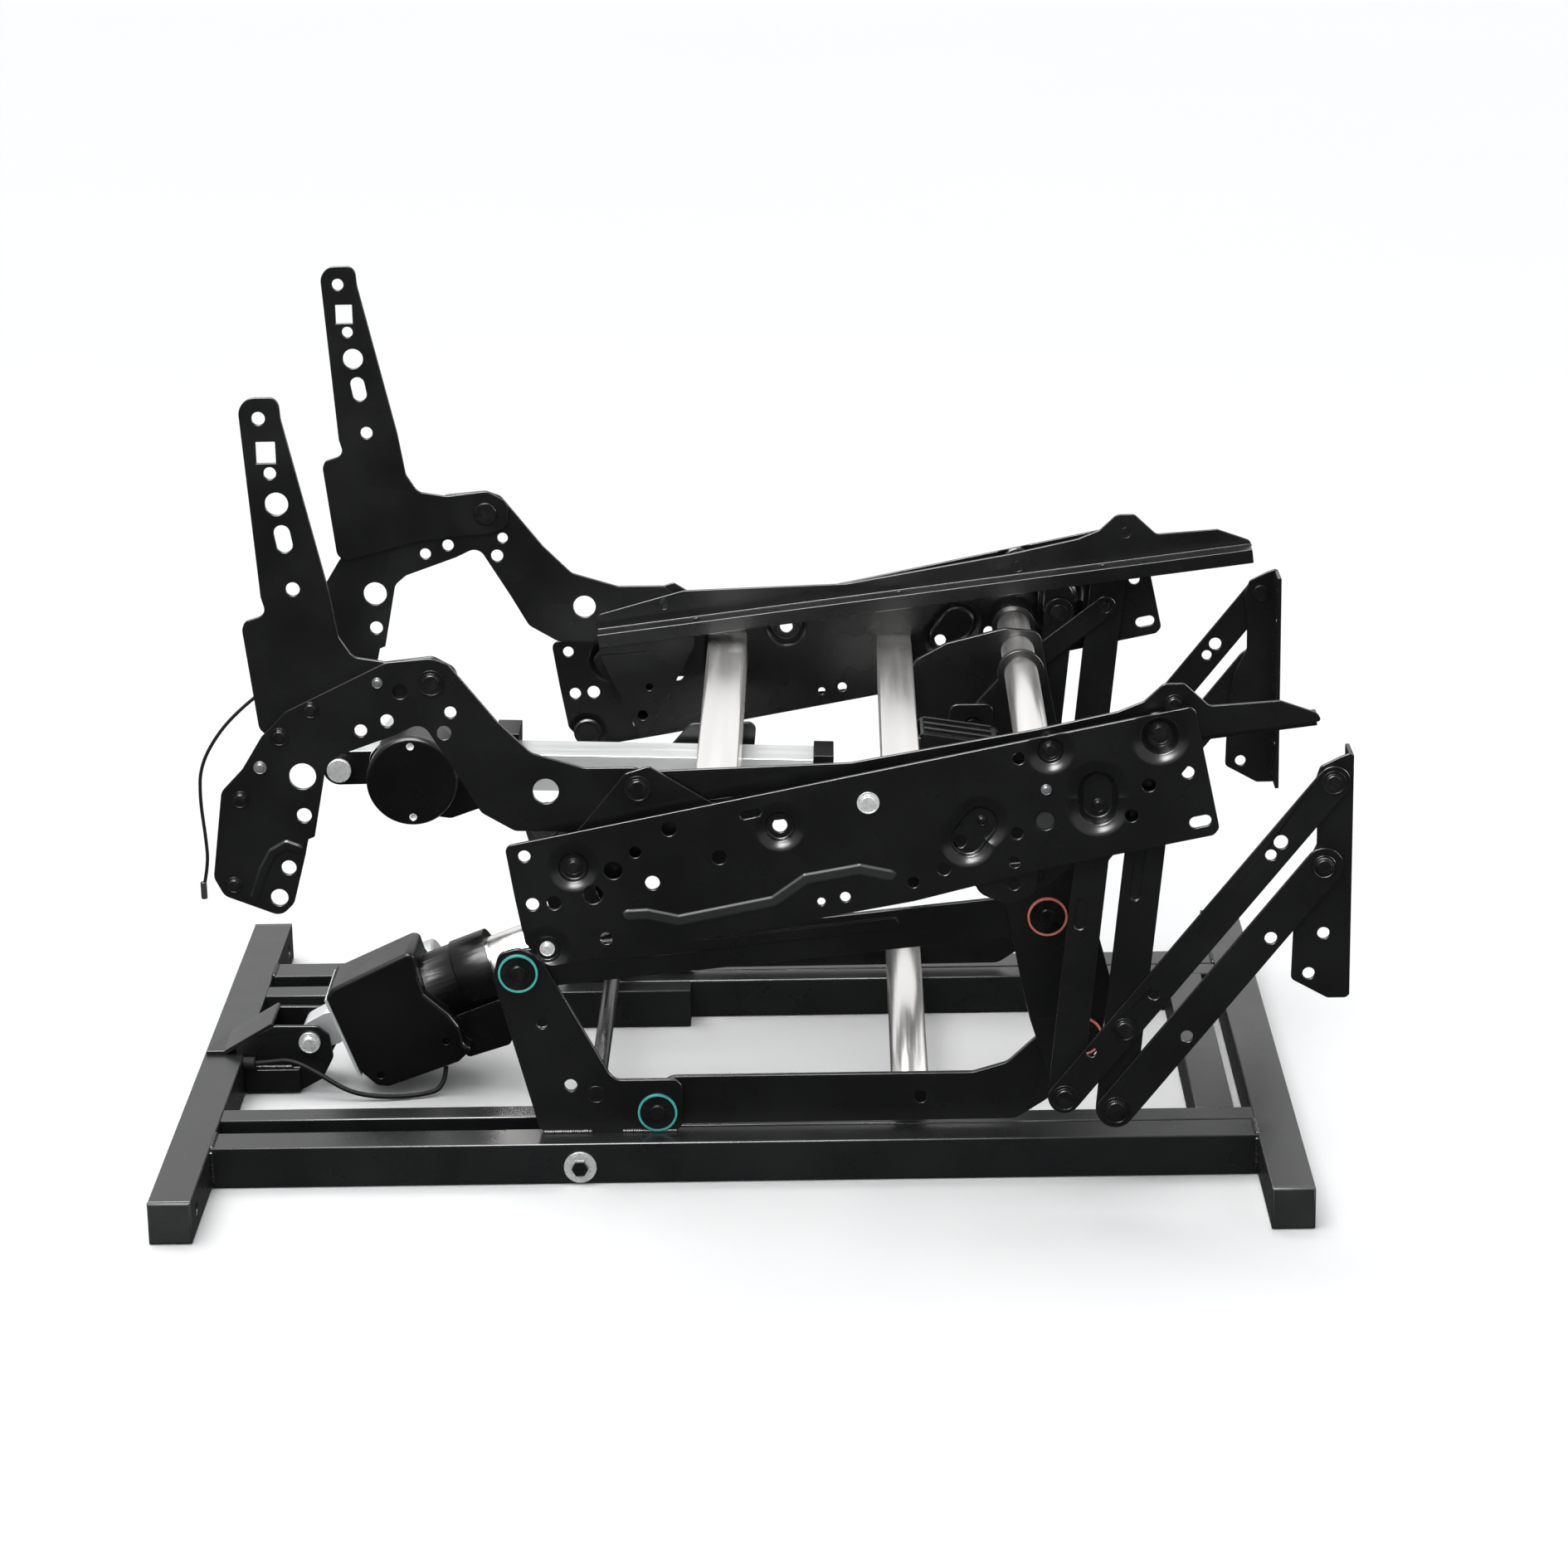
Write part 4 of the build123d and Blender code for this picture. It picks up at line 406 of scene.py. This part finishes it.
rear_joint, front_joint = -382.5, 357.5
rail_in, rail_out = 167.0, 197.0
for way, hand in ((-1, "right"), (1, "left")):
    for x, end_name in ((rear_joint, "rear"), (front_joint, "front")):
        inset = 0.6 if x < 0 else -0.6
        x += inset
        outside = way * (rail_out + 0.1)
        bead(f"weld_{end_name}_side_{hand}", (x, outside, 3), (x, outside, 28), 2.0, "base", 11 + way)
        bead(f"weld_{end_name}_top_{hand}", (x, way * rail_in, 29.8), (x, way * (rail_out - 1), 29.8),
             1.8, "base", 17 + way)
    bead(f"weld_post_rear_{hand}", (-148, way * 175.6, 30.6), (-112, way * 175.6, 30.6), 1.8, "base", 23 + way)
    bead(f"weld_post_front_{hand}", (-92, way * 175.6, 30.6), (-52, way * 175.6, 30.6), 1.8, "base", 29 + way)
    bead(f"weld_riser_{hand}", (124.4, way * 176, 238), (124.4, way * 176, 272), 1.6, "seat_frame", 31 + way)
bead("weld_clevis", (-380, -7.2, 19.4), (-346, -7.2, 19.4), 1.8, "base", 41)
bead("weld_bracket", (124.6, -7, 238), (124.6, -7, 270), 1.8, "seat_frame", 43)


# Cables
def route_curve(name, route, radius):
    """Smooth line that the route's points pull; a tube where the radius is above zero."""
    data = bpy.data.curves.new(name, "CURVE")
    data.dimensions = "3D"
    spline = data.splines.new("NURBS")
    spline.points.add(len(route) - 1)
    for point, place in zip(spline.points, route):
        point.co = (*place, 1)
    spline.order_u = 3
    spline.use_endpoint_u = True
    spline.resolution_u = 16
    data.bevel_depth = radius
    data.bevel_resolution = 5
    data.use_fill_caps = radius > 0
    return data


def as_mesh(name, route, radius):
    """The route's curve as a mesh: a tube, or its line where the radius is zero."""
    probe = bpy.data.objects.new(name, route_curve(name, route, radius))
    mesh = bpy.data.meshes.new_from_object(probe)
    bpy.data.objects.remove(probe)
    return mesh


def lead(name, route, radius, replaced):
    """Rubber lead along a route in metres, as a mesh tube."""
    mesh = as_mesh(name, route, radius)
    for face in mesh.polygons:
        face.use_smooth = True
    line = [v.co.copy() for v in as_mesh(name + "_line", route, 0).vertices]
    piece = bpy.data.objects.new(name, mesh)
    bpy.context.collection.objects.link(piece)
    mesh.materials.clear()
    mesh.materials.append(rubber)
    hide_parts(replaced)
    return piece


motor_lead_route = [
    (-0.2310, -0.0140, 0.0209),
    (-0.2320, -0.0180, 0.0050),
    (-0.2500, -0.0250, 0.0023),
    (-0.2770, -0.0290, 0.0023),
    (-0.3030, -0.0270, 0.0060),
    (-0.3260, -0.0210, 0.0195),
    (-0.3470, -0.0155, 0.0285),
    (-0.3640, -0.0130, 0.0255),
    (-0.3800, -0.0125, 0.0245),
]
hand_lead_route = [
    (-0.3380, -0.2320, 0.3080),
    (-0.3180, -0.2320, 0.3380),
    (-0.3030, -0.2310, 0.3610),
    (-0.3110, -0.2300, 0.3830),
    (-0.3350, -0.2290, 0.3650),
    (-0.3540, -0.2280, 0.3460),
    (-0.3680, -0.2280, 0.3220),
    (-0.3695, -0.2280, 0.2980),
    (-0.3670, -0.2280, 0.2700),
    (-0.3665, -0.2280, 0.2510),
    (-0.3705, -0.2280, 0.2350),
]
motor_lead = lead("motor_lead", motor_lead_route, 0.0018, "motor_cable")
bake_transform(motor_lead)
hand_lead = lead("hand_lead", hand_lead_route, 0.0012, "hand_cable")
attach(hand_lead, "seat_frame")


# Floor
def floor():
    bpy.ops.mesh.primitive_plane_add(size=60, location=(0, 0, -0.0005))
    plane = bpy.context.object
    plane.name = "floor"
    material, tree, shader, vector = new_material("floor")
    tree.links.new(ramp(tree, noise(tree, vector, 0.7), (0.955, 0.955, 0.955), (0.965, 0.965, 0.965)),
                   shader.inputs["Base Color"])
    shader.inputs["Roughness"].default_value = 0.6
    shader.inputs["Specular IOR Level"].default_value = 0.2
    plane.data.materials.append(material)
    plane.visible_glossy = False


floor()
